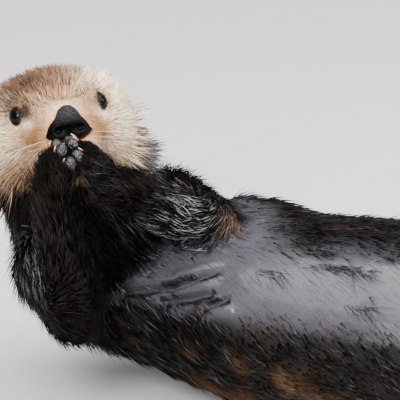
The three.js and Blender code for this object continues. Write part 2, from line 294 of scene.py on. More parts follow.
# %% Floor
floor_shader = Shader("studio_floor", Roughness=0.6, Specular_IOR_Level=0.2)
speckle = floor_shader.noise(floor_shader.place(), 60.0, 3.0)
floor_paint = floor_shader.mix(speckle, (0.46, 0.47, 0.48), (0.50, 0.51, 0.52))
floor_material = floor_shader.finish(Base_Color=floor_paint)
floor_mesh = bpy.data.meshes.new("floor")
FLOOR_REACH = 9
floor_corners = [(x * FLOOR_REACH, y * FLOOR_REACH, 0) for x, y in ((-1, -1), (1, -1), (1, 1), (-1, 1))]
floor_mesh.from_pydata(floor_corners, [], [(0, 1, 2, 3)])
floor_mesh.materials.append(floor_material)
floor = bpy.data.objects.new("floor", floor_mesh)
bpy.context.collection.objects.link(floor)
print("floor:", 2 * FLOOR_REACH, "metres across")

# %% [markdown]
# ## Skin
# Real skin has no seams between neck, chest and arms, but the solids do. A voxel remesh
# melts them into one closed surface. That is done twice: coarsely for the big soft forms,
# which are then relaxed until no facet shows, and finely for paws, ears and flippers, whose
# small forms a strong smoothing would wipe out.

# %% Mesh helpers


def linked(name, mesh):
    made = bpy.data.objects.new(name, mesh)
    bpy.context.collection.objects.link(made)
    return made


def plain_copy(thing, name=None):
    """The mesh of an object with its modifiers applied. The object itself is removed."""
    seen = thing.evaluated_get(bpy.context.evaluated_depsgraph_get())
    mesh = bpy.data.meshes.new_from_object(seen)
    mesh.name = name or thing.name
    bpy.data.objects.remove(thing)
    return mesh


def joined(meshes):
    """One mesh of several, each with its doubled vertices merged."""
    whole = bmesh.new()
    for mesh in meshes:
        piece = bmesh.new()
        piece.from_mesh(mesh)
        bmesh.ops.remove_doubles(piece, verts=piece.verts, dist=1e-5)
        lump = bpy.data.meshes.new("lump")
        piece.to_mesh(lump)
        piece.free()
        whole.from_mesh(lump)
        bpy.data.meshes.remove(lump)
    mesh = bpy.data.meshes.new("joined")
    whole.to_mesh(mesh)
    whole.free()
    return mesh


def remeshed(mesh, voxel):
    thing = linked("remeshed", mesh)
    remesh = thing.modifiers.new("remesh", "REMESH")
    remesh.mode, remesh.voxel_size = "VOXEL", voxel
    return plain_copy(thing)


def get_places(mesh):
    places = np.empty(len(mesh.vertices) * 3)
    mesh.vertices.foreach_get("co", places)
    return places.reshape(-1, 3)


def set_places(mesh, places):
    mesh.vertices.foreach_set("co", np.ascontiguousarray(places, float).ravel())
    mesh.update()


def get_normals(mesh):
    normals = np.empty(len(mesh.vertices) * 3)
    mesh.vertices.foreach_get("normal", normals)
    return normals.reshape(-1, 3)


class Neighbours:
    """Averages over the neighbours of each vertex, along the mesh's edges."""

    def __init__(self, mesh):
        edges = np.empty(len(mesh.edges) * 2, int)
        mesh.edges.foreach_get("vertices", edges)
        self.ends = edges.reshape(-1, 2)
        self.count = len(mesh.vertices)
        self.degree = np.maximum(np.bincount(edges, minlength=self.count), 1)

    def mean(self, values):
        columns = values.reshape(self.count, -1)
        total = np.empty_like(columns)
        first, second = self.ends.T
        for i in range(columns.shape[1]):
            column = columns[:, i]
            total[:, i] = np.bincount(first, column[second], self.count)
            total[:, i] += np.bincount(second, column[first], self.count)
        return (total / self.degree[:, None]).reshape(values.shape)

    def relaxed(self, values, rounds, strength=0.5):
        """Values after some rounds of moving towards the neighbours' mean."""
        for _ in range(rounds):
            values = values + strength * (self.mean(values) - values)
        return values


def softened(mesh, rounds):
    """Relaxes a mesh in place, and gives its neighbours and its new places."""
    web = Neighbours(mesh)
    places = web.relaxed(get_places(mesh), rounds)
    set_places(mesh, places)
    return web, places


class Solids:
    """The outer surface of some CAD nodes, to measure from."""

    def __init__(self, names):
        corners, faces, self.owner_of_face = [], [], []
        for i, name in enumerate(names):
            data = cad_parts[name].data
            start = len(corners)
            corners += [v.co for v in data.vertices]
            faces += [[start + v for v in polygon.vertices] for polygon in data.polygons]
            self.owner_of_face += [i] * len(data.polygons)
        self.tree = BVHTree.FromPolygons(corners, faces)

    def measure(self, places):
        """For each point: how deep it lies inside, and the order number of the nearest node."""
        depths, owners = np.empty(len(places)), np.empty(len(places), int)
        for i, place in enumerate(places):
            nearest, normal, face_number, distance = self.tree.find_nearest(place)
            inside = (Vector(place) - nearest).dot(normal) < 0
            depths[i] = distance if inside else -distance
            owners[i] = self.owner_of_face[face_number]
        return depths, owners


# %% [markdown]
# The skin lies under the solids by the depth of the coat, which differs from place to
# place: deep on the cheeks and the neck, thin where the fur is wet, and next to nothing on
# muzzle, paws and flippers. `soft_step` and `near` say where, with soft borders.

# %% Coat depth


def soft_step(values, start, end):
    share = np.clip((values - start) / (end - start), 0, 1)
    return share * share * (3 - 2 * share)


def near(places, centre, radii):
    """1 at a centre, falling softly to 0 at about twice the radii."""
    offset = (places - np.asarray(centre)) / np.asarray(radii)
    return np.exp(-(offset**2).sum(-1))


def mirrored_near(places, centre, radii):
    centre = np.asarray(centre, float)
    return near(places, centre, radii) + near(places, centre * (1, -1, 1), radii)


def head_distance(spots):
    """How far places in the head's axes are from the head's middle: 1 on its rim."""
    return np.linalg.norm((spots - (-12, 0, -4)) / (74, 88, 66), axis=1)


def head_share(places):
    """1 on the head and 0 on the body, with a border along the back of the jaw."""
    return 1 - soft_step(head_distance(in_head(places)), 1.0, 1.22)


def coat_depth(places):
    """The coat's depth in millimetres."""
    spot = in_head(places)
    on_head = head_share(places)
    muzzle = soft_step(spot[:, 0], 8, 34) * soft_step(-spot[:, 2], -28, -8)
    orbit = np.clip(1.3 * mirrored_near(spot, EYE_PLACE / MM, (17, 15, 15)), 0, 1)
    face_depth = 9 - 5.5 * muzzle - 7.5 * orbit * (1 - muzzle) - 1.5 * orbit * muzzle
    front = soft_step(-places[:, 0], 0.26, 0.36)
    body_depth = 3 + 3 * front * soft_step(places[:, 2], 0.02, 0.1)
    for side in SIDES:
        wrist = (middle(f"forearm_{side}") + 2 * middle(f"forepaw_{side}")) / 3
        body_depth -= 3.5 * near(places, wrist, (0.035, 0.035, 0.035))
    return on_head * face_depth + (1 - on_head) * np.maximum(body_depth, 1)


# %% Big soft forms
FINE_PARTS = ("ear", "forepaw", "hind_flipper")
fine_nodes = [f"{part}_{side}" for part in FINE_PARTS for side in SIDES]
limb_nodes = [f"{part}_{side}" for part in ("upper_arm", "forearm", "thigh", "shank") for side in SIDES]
big_nodes = ["head", "neck", "chest", "belly", "hips", "tail_base", "tail_tip", *limb_nodes]
flesh_nodes = big_nodes + fine_nodes


def node_meshes(names):
    return [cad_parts[name].data for name in names]


BIG_VOXEL, FINE_VOXEL, SKIN_VOXEL = 5 * MM, 1.5 * MM, 1.7 * MM
MOST_OUT, MOST_IN = 8 * MM, 14 * MM  # how far the big forms may move to meet the coat's depth
FINE_DEPTH = 0.6 * MM
solids = Solids(flesh_nodes)

big = remeshed(joined(node_meshes(flesh_nodes)), BIG_VOXEL)
web, places = softened(big, 12)
lift = coat_depth(places) * MM - solids.measure(places)[0]
lift = web.relaxed(np.clip(lift, -MOST_OUT, MOST_IN), 10)
places = places - get_normals(big) * lift[:, None]
set_places(big, web.relaxed(places, 2))
print("big forms:", len(big.vertices), "vertices")

# %% Fine forms
fine = remeshed(joined(node_meshes(fine_nodes)), FINE_VOXEL)
places = softened(fine, 5)[1]
set_places(fine, places - get_normals(fine) * FINE_DEPTH)
print("fine forms:", len(fine.vertices), "vertices")

# %% One skin
skin_mesh = remeshed(joined([big, fine]), SKIN_VOXEL)
places = softened(skin_mesh, 4)[1]
print("skin before thinning:", len(skin_mesh.polygons), "faces")

# %% [markdown]
# ### Eye sockets, mouth and folds
# An eyeball sits deep, held by lids that hug it. Here the skin round each eye is drawn up
# over the ball like a lid, and pushed in behind it inside the opening. The mouth is a groove
# that runs down from the nose and out to both sides. Where the body bends behind the raised
# arm, the loose skin lies in three folds.

# %% Eye axes
GAZE_OUT, GAZE_UP = math.radians(48), math.radians(8)
LID_WIDTH, LID_HEIGHT = 5.7 * MM, 7.6 * MM  # half the size of the opening
SOCKET_REACH = 2.5  # where the lid ends, in openings
EYE_REACH = 30 * MM  # no lid is further than this from its eye
LID_THICKNESS, LEAST_LID, BEHIND_BALL = 0.9 * MM, 5.2 * MM, 2.2 * MM


class Eye:
    """The place of an eye, and the three directions that its lids are laid out in."""

    def __init__(self, side):
        sign = 1 if side == "left" else -1
        level = face * math.cos(GAZE_OUT) + left * sign * math.sin(GAZE_OUT)
        self.middle = pairs["eye"][side]
        self.look = level * math.cos(GAZE_UP) + crown * math.sin(GAZE_UP)
        self.outwards = left * sign * math.cos(GAZE_OUT) - face * math.sin(GAZE_OUT)
        self.up = crown * math.cos(GAZE_UP) - level * math.sin(GAZE_UP)

    def opening(self, angle):
        """The reach of the opening at an angle, 0 at the outer corner and pi at the inner."""
        reach = 1 / np.hypot(np.cos(angle) / LID_WIDTH, np.sin(angle) / LID_HEIGHT)
        inner = np.exp(-(((np.abs(angle) - np.pi) / 0.4) ** 2))
        outer = np.exp(-((angle / 0.35) ** 2))
        return reach + 0.7 * MM * inner + 0.4 * MM * outer

    def measure(self, places):
        """The height over the ball's middle, the distance from its axis, and that in openings."""
        offset = places - self.middle
        height = offset @ self.look
        sideways, upwards = offset @ self.outwards, offset @ self.up
        across = np.hypot(sideways, upwards)
        return height, across, across / self.opening(np.arctan2(upwards, sideways))

    def corner(self, places):
        """1 at the inner corner of the lids, and 0 away from it."""
        offset = places - self.middle
        aside = (offset @ self.outwards + 8 * MM) / (4 * MM)
        return np.exp(-(aside**2) - ((offset @ self.up) / (3 * MM)) ** 2) * (offset @ self.look > 0)


eyes = {side: Eye(side) for side in SIDES}
print("eyes look:", {side: eye.look.round(2).tolist() for side, eye in eyes.items()})

# %% Sockets


def with_sockets(places, normals):
    places = places.copy()
    for eye in eyes.values():
        height, across, share = eye.measure(places)
        facing = soft_step(normals @ eye.look, 0.0, 0.35) * (np.hypot(height, across) < EYE_REACH)
        lid = np.sqrt(np.maximum((EYE_RADIUS + LID_THICKNESS) ** 2 - across**2, LEAST_LID**2))
        behind = np.sqrt(np.maximum(EYE_RADIUS**2 - across**2, 0)) - BEHIND_BALL
        target = height + (1 - soft_step(share, 1.0, SOCKET_REACH)) * facing * (lid - height)
        target += (1 - soft_step(share, 0.86, 1.0)) * facing * (behind - target)
        places += (target - height)[:, None] * eye.look
    return places


# %% Mouth and folds
MOUTH = [(64, 0, -26), (62, 0, -34), (56, 13, -38), (44, 27, -39), (32, 36, -37)]
MOUTH_DEPTH, MOUTH_WIDTH = 2.5 * MM, 2.0
# Each fold starts at the arm. Its corners count from the back of the chest, in millimetres.
FOLDS = [
    [(-105, -71, 128), (-50, -76, 142), (5, -66, 166)],
    [(-63, -82, 126), (-26, -85, 138), (3, -85, 150)],
    [(-16, -93, 130), (14, -91, 148)],
]
FOLD_DEPTH, FOLD_WIDTH, FOLD_STEPS = 5.5, 3.6, 6


def distance_to_line(spots, line):
    """How far each point is from a line of several straight lengths."""
    nearest = np.full(len(spots), np.inf)
    for start, end in zip(line[:-1], line[1:]):
        along = np.subtract(end, start)
        share = np.clip((spots - start) @ along / along.dot(along), 0, 1)
        gap = np.linalg.norm(spots - (start + share[:, None] * along), axis=1)
        nearest = np.minimum(nearest, gap)
    return nearest


def from_chest(spots):
    """Places that count from the back of the chest, in millimetres, as points in the scene."""
    return np.asarray(spots) * MM + (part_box("chest")[1][0], 0, 0)


def nearest_to(places, spot):
    return places[np.linalg.norm(places - spot, axis=1).argmin()]


def mouth_share(places):
    spot = in_head(places)
    spot[:, 1] = abs(spot[:, 1])
    return np.exp(-((distance_to_line(spot, MOUTH) / MOUTH_WIDTH) ** 2))


def fold_distance(places):
    """The distance from the nearest fold along the skin, in millimetres, and its strength."""
    nearest_fold = np.full(len(places), np.inf)
    strength = np.zeros(len(places))
    for line in FOLDS:
        spots = []
        for start, end in zip(line[:-1], line[1:]):
            spots += [np.add(start, np.subtract(end, start) * i / FOLD_STEPS) for i in range(FOLD_STEPS)]
        on_skin = np.array([nearest_to(places, spot) for spot in from_chest(spots + [line[-1]])])
        distance = distance_to_line(places / MM, on_skin / MM)
        along = (places - on_skin[0]) @ (on_skin[-1] - on_skin[0])
        along /= ((on_skin[-1] - on_skin[0]) ** 2).sum()
        nearer = distance < nearest_fold
        nearest_fold = np.where(nearer, distance, nearest_fold)
        strength = np.where(nearer, soft_step(along, 0, 0.15) * soft_step(1 - along, 0, 0.3), strength)
    return nearest_fold, strength


def fold_rise(places):
    """The groove of each fold, with a rounded lip along both sides."""
    distance, strength = fold_distance(places)
    groove = np.exp(-((distance / FOLD_WIDTH) ** 2))
    lips = np.exp(-(((distance - 2.6 * FOLD_WIDTH) / (1.6 * FOLD_WIDTH)) ** 2))
    return FOLD_DEPTH * (0.8 * lips - groove) * strength


normals = get_normals(skin_mesh)
places = with_sockets(places, normals)
rise = fold_rise(places) * MM - mouth_share(places) * MOUTH_DEPTH
places = places + normals * rise[:, None]
set_places(skin_mesh, places)
print("mouth and folds, in mm:", round(rise.min() / MM, 1), "to", round(rise.max() / MM, 1))

# %% Thin it out on the body
skin = linked("skin", skin_mesh)


def detail_share(places):
    """Where small forms need small faces: the face and the paws."""
    wanted = head_share(places)
    for node in fine_nodes:
        low, high = (np.array(corner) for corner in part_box(node))
        distance = np.linalg.norm((places - (low + high) / 2) / ((high - low) * 0.6), axis=1)
        wanted = np.maximum(wanted, 1 - soft_step(distance, 0.9, 1.3))
    return np.maximum(wanted, 1 - soft_step(fold_distance(places)[0], 8, 16))


SKIN_TRIANGLES = 185000
keep = detail_share(get_places(skin_mesh))
group = skin.vertex_groups.new(name="thin_out")
levels = np.round((1 - 0.93 * keep) * 20).astype(int)
for level in np.unique(levels):
    group.add(np.flatnonzero(levels == level).tolist(), level / 20, "REPLACE")
thinning = skin.modifiers.new("thin", "DECIMATE")
thinning.vertex_group = "thin_out"
thinning.vertex_group_factor = 1.0
thinning.use_collapse_triangulate = True
thinning.ratio = SKIN_TRIANGLES / (2 * len(skin_mesh.polygons))
skin_mesh = plain_copy(skin, "skin")
skin = linked("skin", skin_mesh)
skin_mesh.shade_smooth()
print("skin:", len(skin_mesh.polygons), "triangles")


# %% [markdown]
# ## The lie of the coat
# Hair lies away from the nose: back over the head, down the neck, along the trunk to the
# tail, and along each limb to its toes. On a trunk that lies on its back, wet hair also runs
# down to both sides. Round the eyes it parts. The directions are worked out for each part
# and then relaxed over the skin, so that the coat turns gradually from one to the next.

# %% Flow of each part
BODY_NAME = "root"
SPINE = ["head", "neck", "chest", "belly", "hips", "tail_base", "tail_tip"]
LIMBS = [("upper_arm", "forearm", "forepaw"), ("thigh", "shank", "hind_flipper")]


def long_axis(corners, towards):
    """The direction in which points are spread most, pointing towards a place."""
    spread = corners - corners.mean(0)
    axis = np.linalg.svd(spread, full_matrices=False)[2][0]
    return axis * np.sign(axis.dot(towards - corners.mean(0)))


flow = {"tail_tip": middle("tail_tip") - middle("tail_base"), "head": -face}
for before, node, after in zip(SPINE, SPINE[1:], SPINE[2:]):
    flow[node] = middle(after) - middle(before)
for side in SIDES:
    flow[f"ear_{side}"] = -face
    for names in LIMBS:
        upper, lower, foot = (f"{part}_{side}" for part in names)
        flow[upper] = long_axis(corners_of(upper), middle(lower))
        flow[lower] = long_axis(corners_of(lower), middle(foot))
        flow[foot] = middle(foot) - middle(lower)
print("the coat runs:", {node: unit(flow[node]).round(2).tolist() for node in ("neck", "belly")})

# %% Directions on the skin
web = Neighbours(skin_mesh)
places, normals = get_places(skin_mesh), get_normals(skin_mesh)
owners = solids.measure(places)[1]
part_of = {name: web.relaxed((owners == i).astype(float), 12) for i, name in enumerate(flesh_nodes)}
NOSE_ANCHOR = from_head((52, 0, -10))
on_head = head_share(places)
spot = in_head(places)


def part_share(*names):
    return np.clip(sum(part_of[name] for name in names), 0, 1)


def along_skin(vectors):
    """Vectors laid flat on the skin, each one unit long."""
    flat = vectors - normals * (vectors * normals).sum(1)[:, None]
    return flat / np.maximum(np.linalg.norm(flat, axis=1), 1e-6)[:, None]


def blend(share, first, second):
    return first * (1 - share)[:, None] + second * share[:, None]


trunk = part_share("chest", "belly", "hips")
part_flow = np.array([unit(flow[name]) for name in flesh_nodes])[owners]
sideways = np.clip(places[:, 1] / 0.08, -1, 1)
run_off = np.column_stack([0 * sideways, 0.6 * sideways, -0.45 * abs(sideways)])
part_flow = part_flow + run_off * trunk[:, None]
from_nose = places - NOSE_ANCHOR
from_nose /= np.linalg.norm(from_nose, axis=1)[:, None]
lie = along_skin(blend(on_head, part_flow, from_nose))
lie = along_skin(web.relaxed(lie, 20))

lid_share = np.zeros(len(places))  # 1 at the lids, 0 away from the eyes
bare = np.ones(len(places))
lid_dark = np.zeros(len(places))
for eye in eyes.values():
    height, across, share = eye.measure(places)
    close = np.hypot(height, across) < EYE_REACH
    lid = (1 - soft_step(share, 1.2, 2.3)) * close
    away = along_skin(places - eye.middle)
    lie = along_skin(blend(0.8 * lid, lie, away))
    lid_share = np.maximum(lid_share, lid)
    bare *= 1 - close * (1 - soft_step(share, 1.1, 1.25))
    lid_dark = np.maximum(lid_dark, (1 - soft_step(share, 1.08, 1.4)) * close)
    lid_dark = np.maximum(lid_dark, 0.3 * eye.corner(places))
print("skin points:", len(places), "on the head:", int(on_head.sum()), "lids:", int(lid_share.sum()))

# %% [markdown]
# ## Paws
# The palm side of a paw is bare, with one rough pad under each finger and one under the
# palm. Each paw has axes of its own, which its five claws fix: `fingers` is the way they
# point, `lateral` runs across them, and `back` out of the back of the paw.

# %% Paw axes
FINGERS = range(1, 6)


class Paw:
    def __init__(self, side):
        node = f"forepaw_{side}"
        claws = [f"fore_claw_{side}_{i}" for i in FINGERS]
        self.claw_roots = [corners_of(claw).mean(0) for claw in claws]
        self.middle = corners_of(node).mean(0)
        pointing = [2 * place - self.middle for place in self.claw_roots]
        self.fingers = unit(sum(long_axis(corners_of(c), p) for c, p in zip(claws, pointing)))
        lateral = self.claw_roots[-1] - self.claw_roots[0]
        self.lateral = unit(lateral - self.fingers * lateral.dot(self.fingers))
        self.back = np.cross(self.fingers, self.lateral)

    def place(self, start, ahead, across, out):
        """A point, some millimetres from another one in the paw's own directions."""
        return start + (ahead * self.fingers + across * self.lateral + out * self.back) * MM


paws = {side: Paw(side) for side in SIDES}
palm = np.zeros(len(places))
finger_tips = np.zeros(len(places))
for side, paw in paws.items():
    on_paw = part_share(f"forepaw_{side}")
    ahead = (places - paw.middle) @ paw.fingers
    reach_ahead = (np.mean(paw.claw_roots, axis=0) - paw.middle) @ paw.fingers
    palm += on_paw * soft_step(-(normals @ paw.back), 0.25, 0.6) * soft_step(ahead, -0.012, 0.0)
    finger_tips += on_paw * soft_step(ahead, reach_ahead - 9 * MM, reach_ahead - 2 * MM)
palm = np.clip(palm + finger_tips * soft_step(palm, 0.02, 0.3), 0, 1)
print("fingers point:", {side: paw.fingers.round(2).tolist() for side, paw in paws.items()})

# %% [markdown]
# ## Markings
# The head is dry and pale, taupe on the crown, white on the cheeks and golden round the
# muzzle. Behind the cheeks the coat turns grey, and then black-brown where it is wet. The
# colours are laid over each other with soft masks in the head's own axes, and kept as one
# attribute that skin and tufts both read, so that their markings agree everywhere.

# %% Colours


def tone(red, green, blue):
    """A colour given in screen values, as light values."""
    screen = np.array((red, green, blue)) / 255
    return np.where(screen <= 0.04045, screen / 12.92, ((screen + 0.055) / 1.055) ** 2.4)


def layered(base, layers):
    colour = np.tile(base, (len(layers[0][0]), 1))
    for mask, paint in layers:
        colour = blend(np.clip(mask, 0, 1), colour, np.tile(paint, (len(colour), 1)))
    return colour


def patchy(places, size, offset=0.0):
    """A smooth random number from 0 to 1 at each point, with patches of the given size."""
    steps = places / size + offset
    return np.array([0.5 + 0.5 * noise.noise(Vector(step)) for step in steps])


# %% Where the markings lie
behind_head = soft_step(head_distance(spot), 0.95, 1.5)
big_patches, small_patches = patchy(places, 0.030), patchy(places, 0.012, 7.3)
eye_brown = mirrored_near(spot, EYE_PLACE / MM + (3, 1, 3), (11, 12, 11))
throat = soft_step(-spot[:, 2] + 8 * soft_step(-spot[:, 1], -20, 30), 42, 60)
ruff_grey = soft_step((2 - spot[:, 0]) / 14 + (abs(spot[:, 1]) - 66) / 10, 0, 1)
ruff_grey *= soft_step(-spot[:, 2], -12, 6)
armpit = from_chest((-10, -10, 193))
low_flank = soft_step(0.105 - places[:, 2], 0.0, 0.03) * soft_step(-places[:, 1], 0.05, 0.08)
low_flank *= soft_step(-places[:, 0], 0.1, 0.2)
ginger = low_flank * soft_step(big_patches, 0.5, 0.62)
far_shoulder = middle("upper_arm_right") + np.array((-0.02, 0.0, 0.03))
inner_arm = paws["left"].middle + np.array((0.018, 0.004, -0.020))
mottle = on_head * (0.35 + 0.65 * soft_step(spot[:, 2], 4, 30))
wet = soft_step(behind_head, 0.2, 0.8)
print("wet:", round(wet.mean(), 2), "of the skin points, ginger:", int(ginger.sum()))

# %% Wet fur
# Wet locks stick to the sleek side in a few spots. They count from the back of the chest.
STRAYS = [
    (44, -74, 167), (66, -34, 186), (83, -55, 180),
    (112, -62, 178), (144, -96, 155), (150, -50, 186),
]
STRAY_REACH = 3.5 * MM
strays = sum(near(places, nearest_to(places, spot), STRAY_REACH) for spot in from_chest(STRAYS))
strays = np.clip(strays, 0, 1)
# Sleek fur lies flat under a film of water, on the near side of the trunk. Its grey colour is painted
# sheen, the film's reflection of the light.
far_edge = places[:, 1] + 0.05 * (small_patches - 0.5) + 0.03 * (big_patches - 0.5)
far_limit = -0.028 + 0.085 * soft_step(-places[:, 0], 0.205, 0.255)
low_limit = 0.112 + 0.05 * (places[:, 0] + 0.34) + 0.02 * (small_patches - 0.5)
sleek = trunk * soft_step(far_limit - far_edge, 0.0, 0.022)
sleek *= soft_step(places[:, 2] - low_limit, 0.0, 0.02)
sleek = web.relaxed(sleek, 4)
fold_away, fold_strength = fold_distance(places)
crease = np.exp(-((fold_away / 3.0) ** 2)) * soft_step(fold_strength, 0.05, 0.5)
hump = near(places, armpit + (0.008, 0.052, -0.008), (0.040, 0.022, 0.022))
gloss = sleek * (0.22 + 0.42 * soft_step(places[:, 2], 0.145, 0.185)) * (1 - 0.5 * hump)
gloss *= 1 - 0.8 * np.exp(-((fold_away / 4.5) ** 2))
gloss *= 1 - strays
print("sleek:", int(sleek.sum()), "skin points, most gloss:", round(gloss.max(), 2))

# %% The coat's colours
coat = layered(
    tone(240, 204, 164),
    [
        # crown, brow and temples
        (2.2 * near(spot, (9, -5, 43), (34, 42, 25)), tone(116, 86, 65)),
        (1.1 * near(spot, (25, 8, 34), (10, 20, 9)), tone(82, 60, 45)),
        (1.7 * near(spot, (20, -22, 36), (17, 22, 12)), tone(66, 47, 35)),
        (2.0 * near(spot, (15, -49, 23), (14, 11, 11)), tone(62, 45, 35)),
        # cheeks
        (near(spot, (10, 50, 34), (28, 22, 22)), tone(255, 233, 206)),
        (mirrored_near(spot, (18, 58, -14), (36, 22, 28)), tone(255, 234, 203)),
        # bridge of the nose, muzzle and chin
        (0.7 * near(spot, (31, 4, 22), (14, 24, 12)), tone(178, 134, 98)),
        (near(spot, (46, 4, 8), (12, 20, 9)), tone(250, 214, 176)),
        (1.3 * mirrored_near(spot, (46, 29, -15), (22, 16, 22)), tone(202, 152, 104)),
        (0.6 * mirrored_near(spot, (44, 31, -13), (20, 12, 17)), tone(168, 122, 78)),
        (0.5 * mirrored_near(spot, (42, 28, -24), (19, 12, 12)), tone(132, 94, 60)),
        (near(spot, (30, 0, -50), (28, 32, 12)), tone(176, 132, 90)),
        (near(spot, (16, -44, -42), (28, 22, 16)), tone(150, 104, 64)),
        # round the eyes, and the mouth
        (np.clip(eye_brown, 0, 0.6), tone(118, 80, 58)),
        (1.6 * near(spot, (31, -31, 10), (8, 6, 11)), tone(58, 41, 32)),
        (0.5 * near(spot, (34, 27, 10), (6, 6, 6)), tone(96, 68, 50)),
        (near(spot, (30, -30, -2), (9, 7, 5)), tone(236, 212, 190)),
        (near(spot, (32, 42, -5), (9, 8, 5)), tone(248, 222, 198)),
        (np.clip(1.3 * lid_dark, 0, 1), tone(20, 13, 10)),
        (mouth_share(places) * 0.8, tone(50, 34, 26)),
        # ruff, neck and throat
        (ruff_grey, tone(84, 81, 83)),
        (soft_step(behind_head, 0.05, 0.4), tone(112, 108, 109)),
        (throat, tone(18, 13, 10)),
        (soft_step(behind_head, 0.35, 0.9), tone(9, 7, 6)),
        (0.6 * soft_step(small_patches, 0.55, 0.75) * soft_step(behind_head, 0.5, 1), tone(28, 19, 15)),
        # trunk with painted sheen on the sleek side and painted shade in the fold creases, armpit, ears
        # and palms
        # painted sheen: the sleek side is grey where its film of water reflects the light, and a darker
        # grey on the hump
        (sleek * 0.95, tone(58, 57, 63)),
        (sleek * hump, tone(44, 43, 46)),
        # painted shade: a dark line along the bottom of each fold's crease
        (soft_step(crease, 0.25, 0.8) * trunk, tone(10, 8, 8)),
        (ginger * 0.7, tone(84, 58, 36)),
        (strays, tone(22, 15, 12)),
        (near(places, armpit, (0.008, 0.009, 0.014)), tone(118, 92, 85)),
        (1.4 * part_share("ear_left", "ear_right"), tone(116, 96, 80)),
        (palm, tone(30, 27, 28)),
    ],
)
# Silver hairs are partly the coat's own grizzled guard hairs and partly painted glints, highlights of
# the light on wet fur.
frost = np.clip(  # where silver hairs stand among the dark ones
    near(places, armpit + (-0.035, -0.03, 0.0), (0.028, 0.03, 0.03))
    + 0.3 * near(places, inner_arm, (0.018, 0.014, 0.022))
    + 0.35 * near(places, far_shoulder, (0.03, 0.04, 0.04))
    + near(places, armpit + (-0.085, -0.02, 0.01), (0.022, 0.03, 0.02))
    + 0.14 * trunk * soft_step(small_patches, 0.5, 0.65), 0, 1)
print("mean colour:", coat.mean(0).round(3), "silver:", int(frost.sum()), "skin points")

# %% Keep them on the skin


def store(mesh, name, kind, values):
    attribute = mesh.attributes.new(name, kind, "POINT")
    key = {"FLOAT": "value", "FLOAT_VECTOR": "vector", "FLOAT_COLOR": "color"}[kind]
    if kind == "FLOAT_COLOR":
        values = np.column_stack([values, np.ones(len(values))])
    attribute.data.foreach_set(key, np.ascontiguousarray(values, np.float32).ravel())


store(skin_mesh, "lie", "FLOAT_VECTOR", lie)
store(skin_mesh, "coat", "FLOAT_COLOR", coat)
shares = {"wet": wet, "mottle": mottle, "sleek": sleek, "gloss": gloss, "palm": palm, "frost": frost}
for label, values in shares.items():
    store(skin_mesh, label, "FLOAT", values)
print("kept on the skin:", ["lie", "coat", *shares])

# %% Skin finish
pelt = Shader("pelt", Coat_Roughness=0.18, Specular_IOR_Level=0.1)
strands = pelt.noise(pelt.stretched(pelt.place(), (25, 260, 260)), 6.0, 3.0)
blotches = pelt.noise(pelt.place(), 45.0, 3.0)
pebbles = pelt.cells(pelt.place(), 750.0)
pelt_palm, pelt_sleek = pelt.attribute("palm"), pelt.attribute("sleek")
pelt_gloss = pelt.attribute("gloss") * (1.0 - pelt_palm)
grain = strands + (pebbles - strands) * pelt_palm
grain_shade = pelt.remap(grain, 0.3, 0.7, 0.6, 1.15)
pelt_shade = grain_shade + (pelt.remap(grain, 0.3, 0.7, 0.88, 1.06) - grain_shade) * pelt_sleek
pelt_shade = pelt_shade * pelt.remap(blotches, 0.3, 0.7, 0.85, 1.12)
# painted shade: the skin under the crown's fur is darker
pelt_shade = pelt_shade * (1.0 - pelt.attribute("mottle") * 0.4)
pelt_colour = pelt.scaled(pelt.attribute("coat", "Color"), pelt_shade)
pelt_rough = 0.8 - pelt.attribute("wet") * 0.35 - pelt_sleek * 0.1 + pelt_palm * 0.1
pelt_bump = pelt.bump(grain + blotches * 0.4, 0.0009, 0.6)
pelt_material = pelt.finish(
    Base_Color=pelt_colour, Roughness=pelt_rough, Normal=pelt_bump, Coat_Weight=pelt_gloss
)
skin_mesh.materials.append(pelt_material)
print("pelt:", len(pelt.tree.nodes), "nodes")

# %% [markdown]
# ## An unwrap for the skin
# Each tuft will carry the place of its root on this unwrap, so the unwrap comes first.

# %% Unwrap
bpy.context.view_layer.objects.active = skin
skin.select_set(True)
skin_mesh.uv_layers.new(name="OFBake")
bpy.ops.object.mode_set(mode="EDIT")
bpy.ops.mesh.select_all(action="SELECT")
bpy.ops.uv.smart_project(angle_limit=math.radians(70), island_margin=0.002)
bpy.ops.object.mode_set(mode="OBJECT")
print("unwrapped:", len(skin_mesh.uv_layers["OFBake"].data), "corners")

# %% [markdown]
# ## Tufts
# A tuft is a thin, solid, three-sided blade that is rooted in the skin, leans along the lie
# of the coat and bends down towards its tip. One Geometry Nodes tree scatters them over the
# skin where a mask says. Low noise sways whole groups of tufts the same way, which is what
# makes fur clump, and each tuft keeps its root's colour, place and unwrap.

# %% The tuft tree


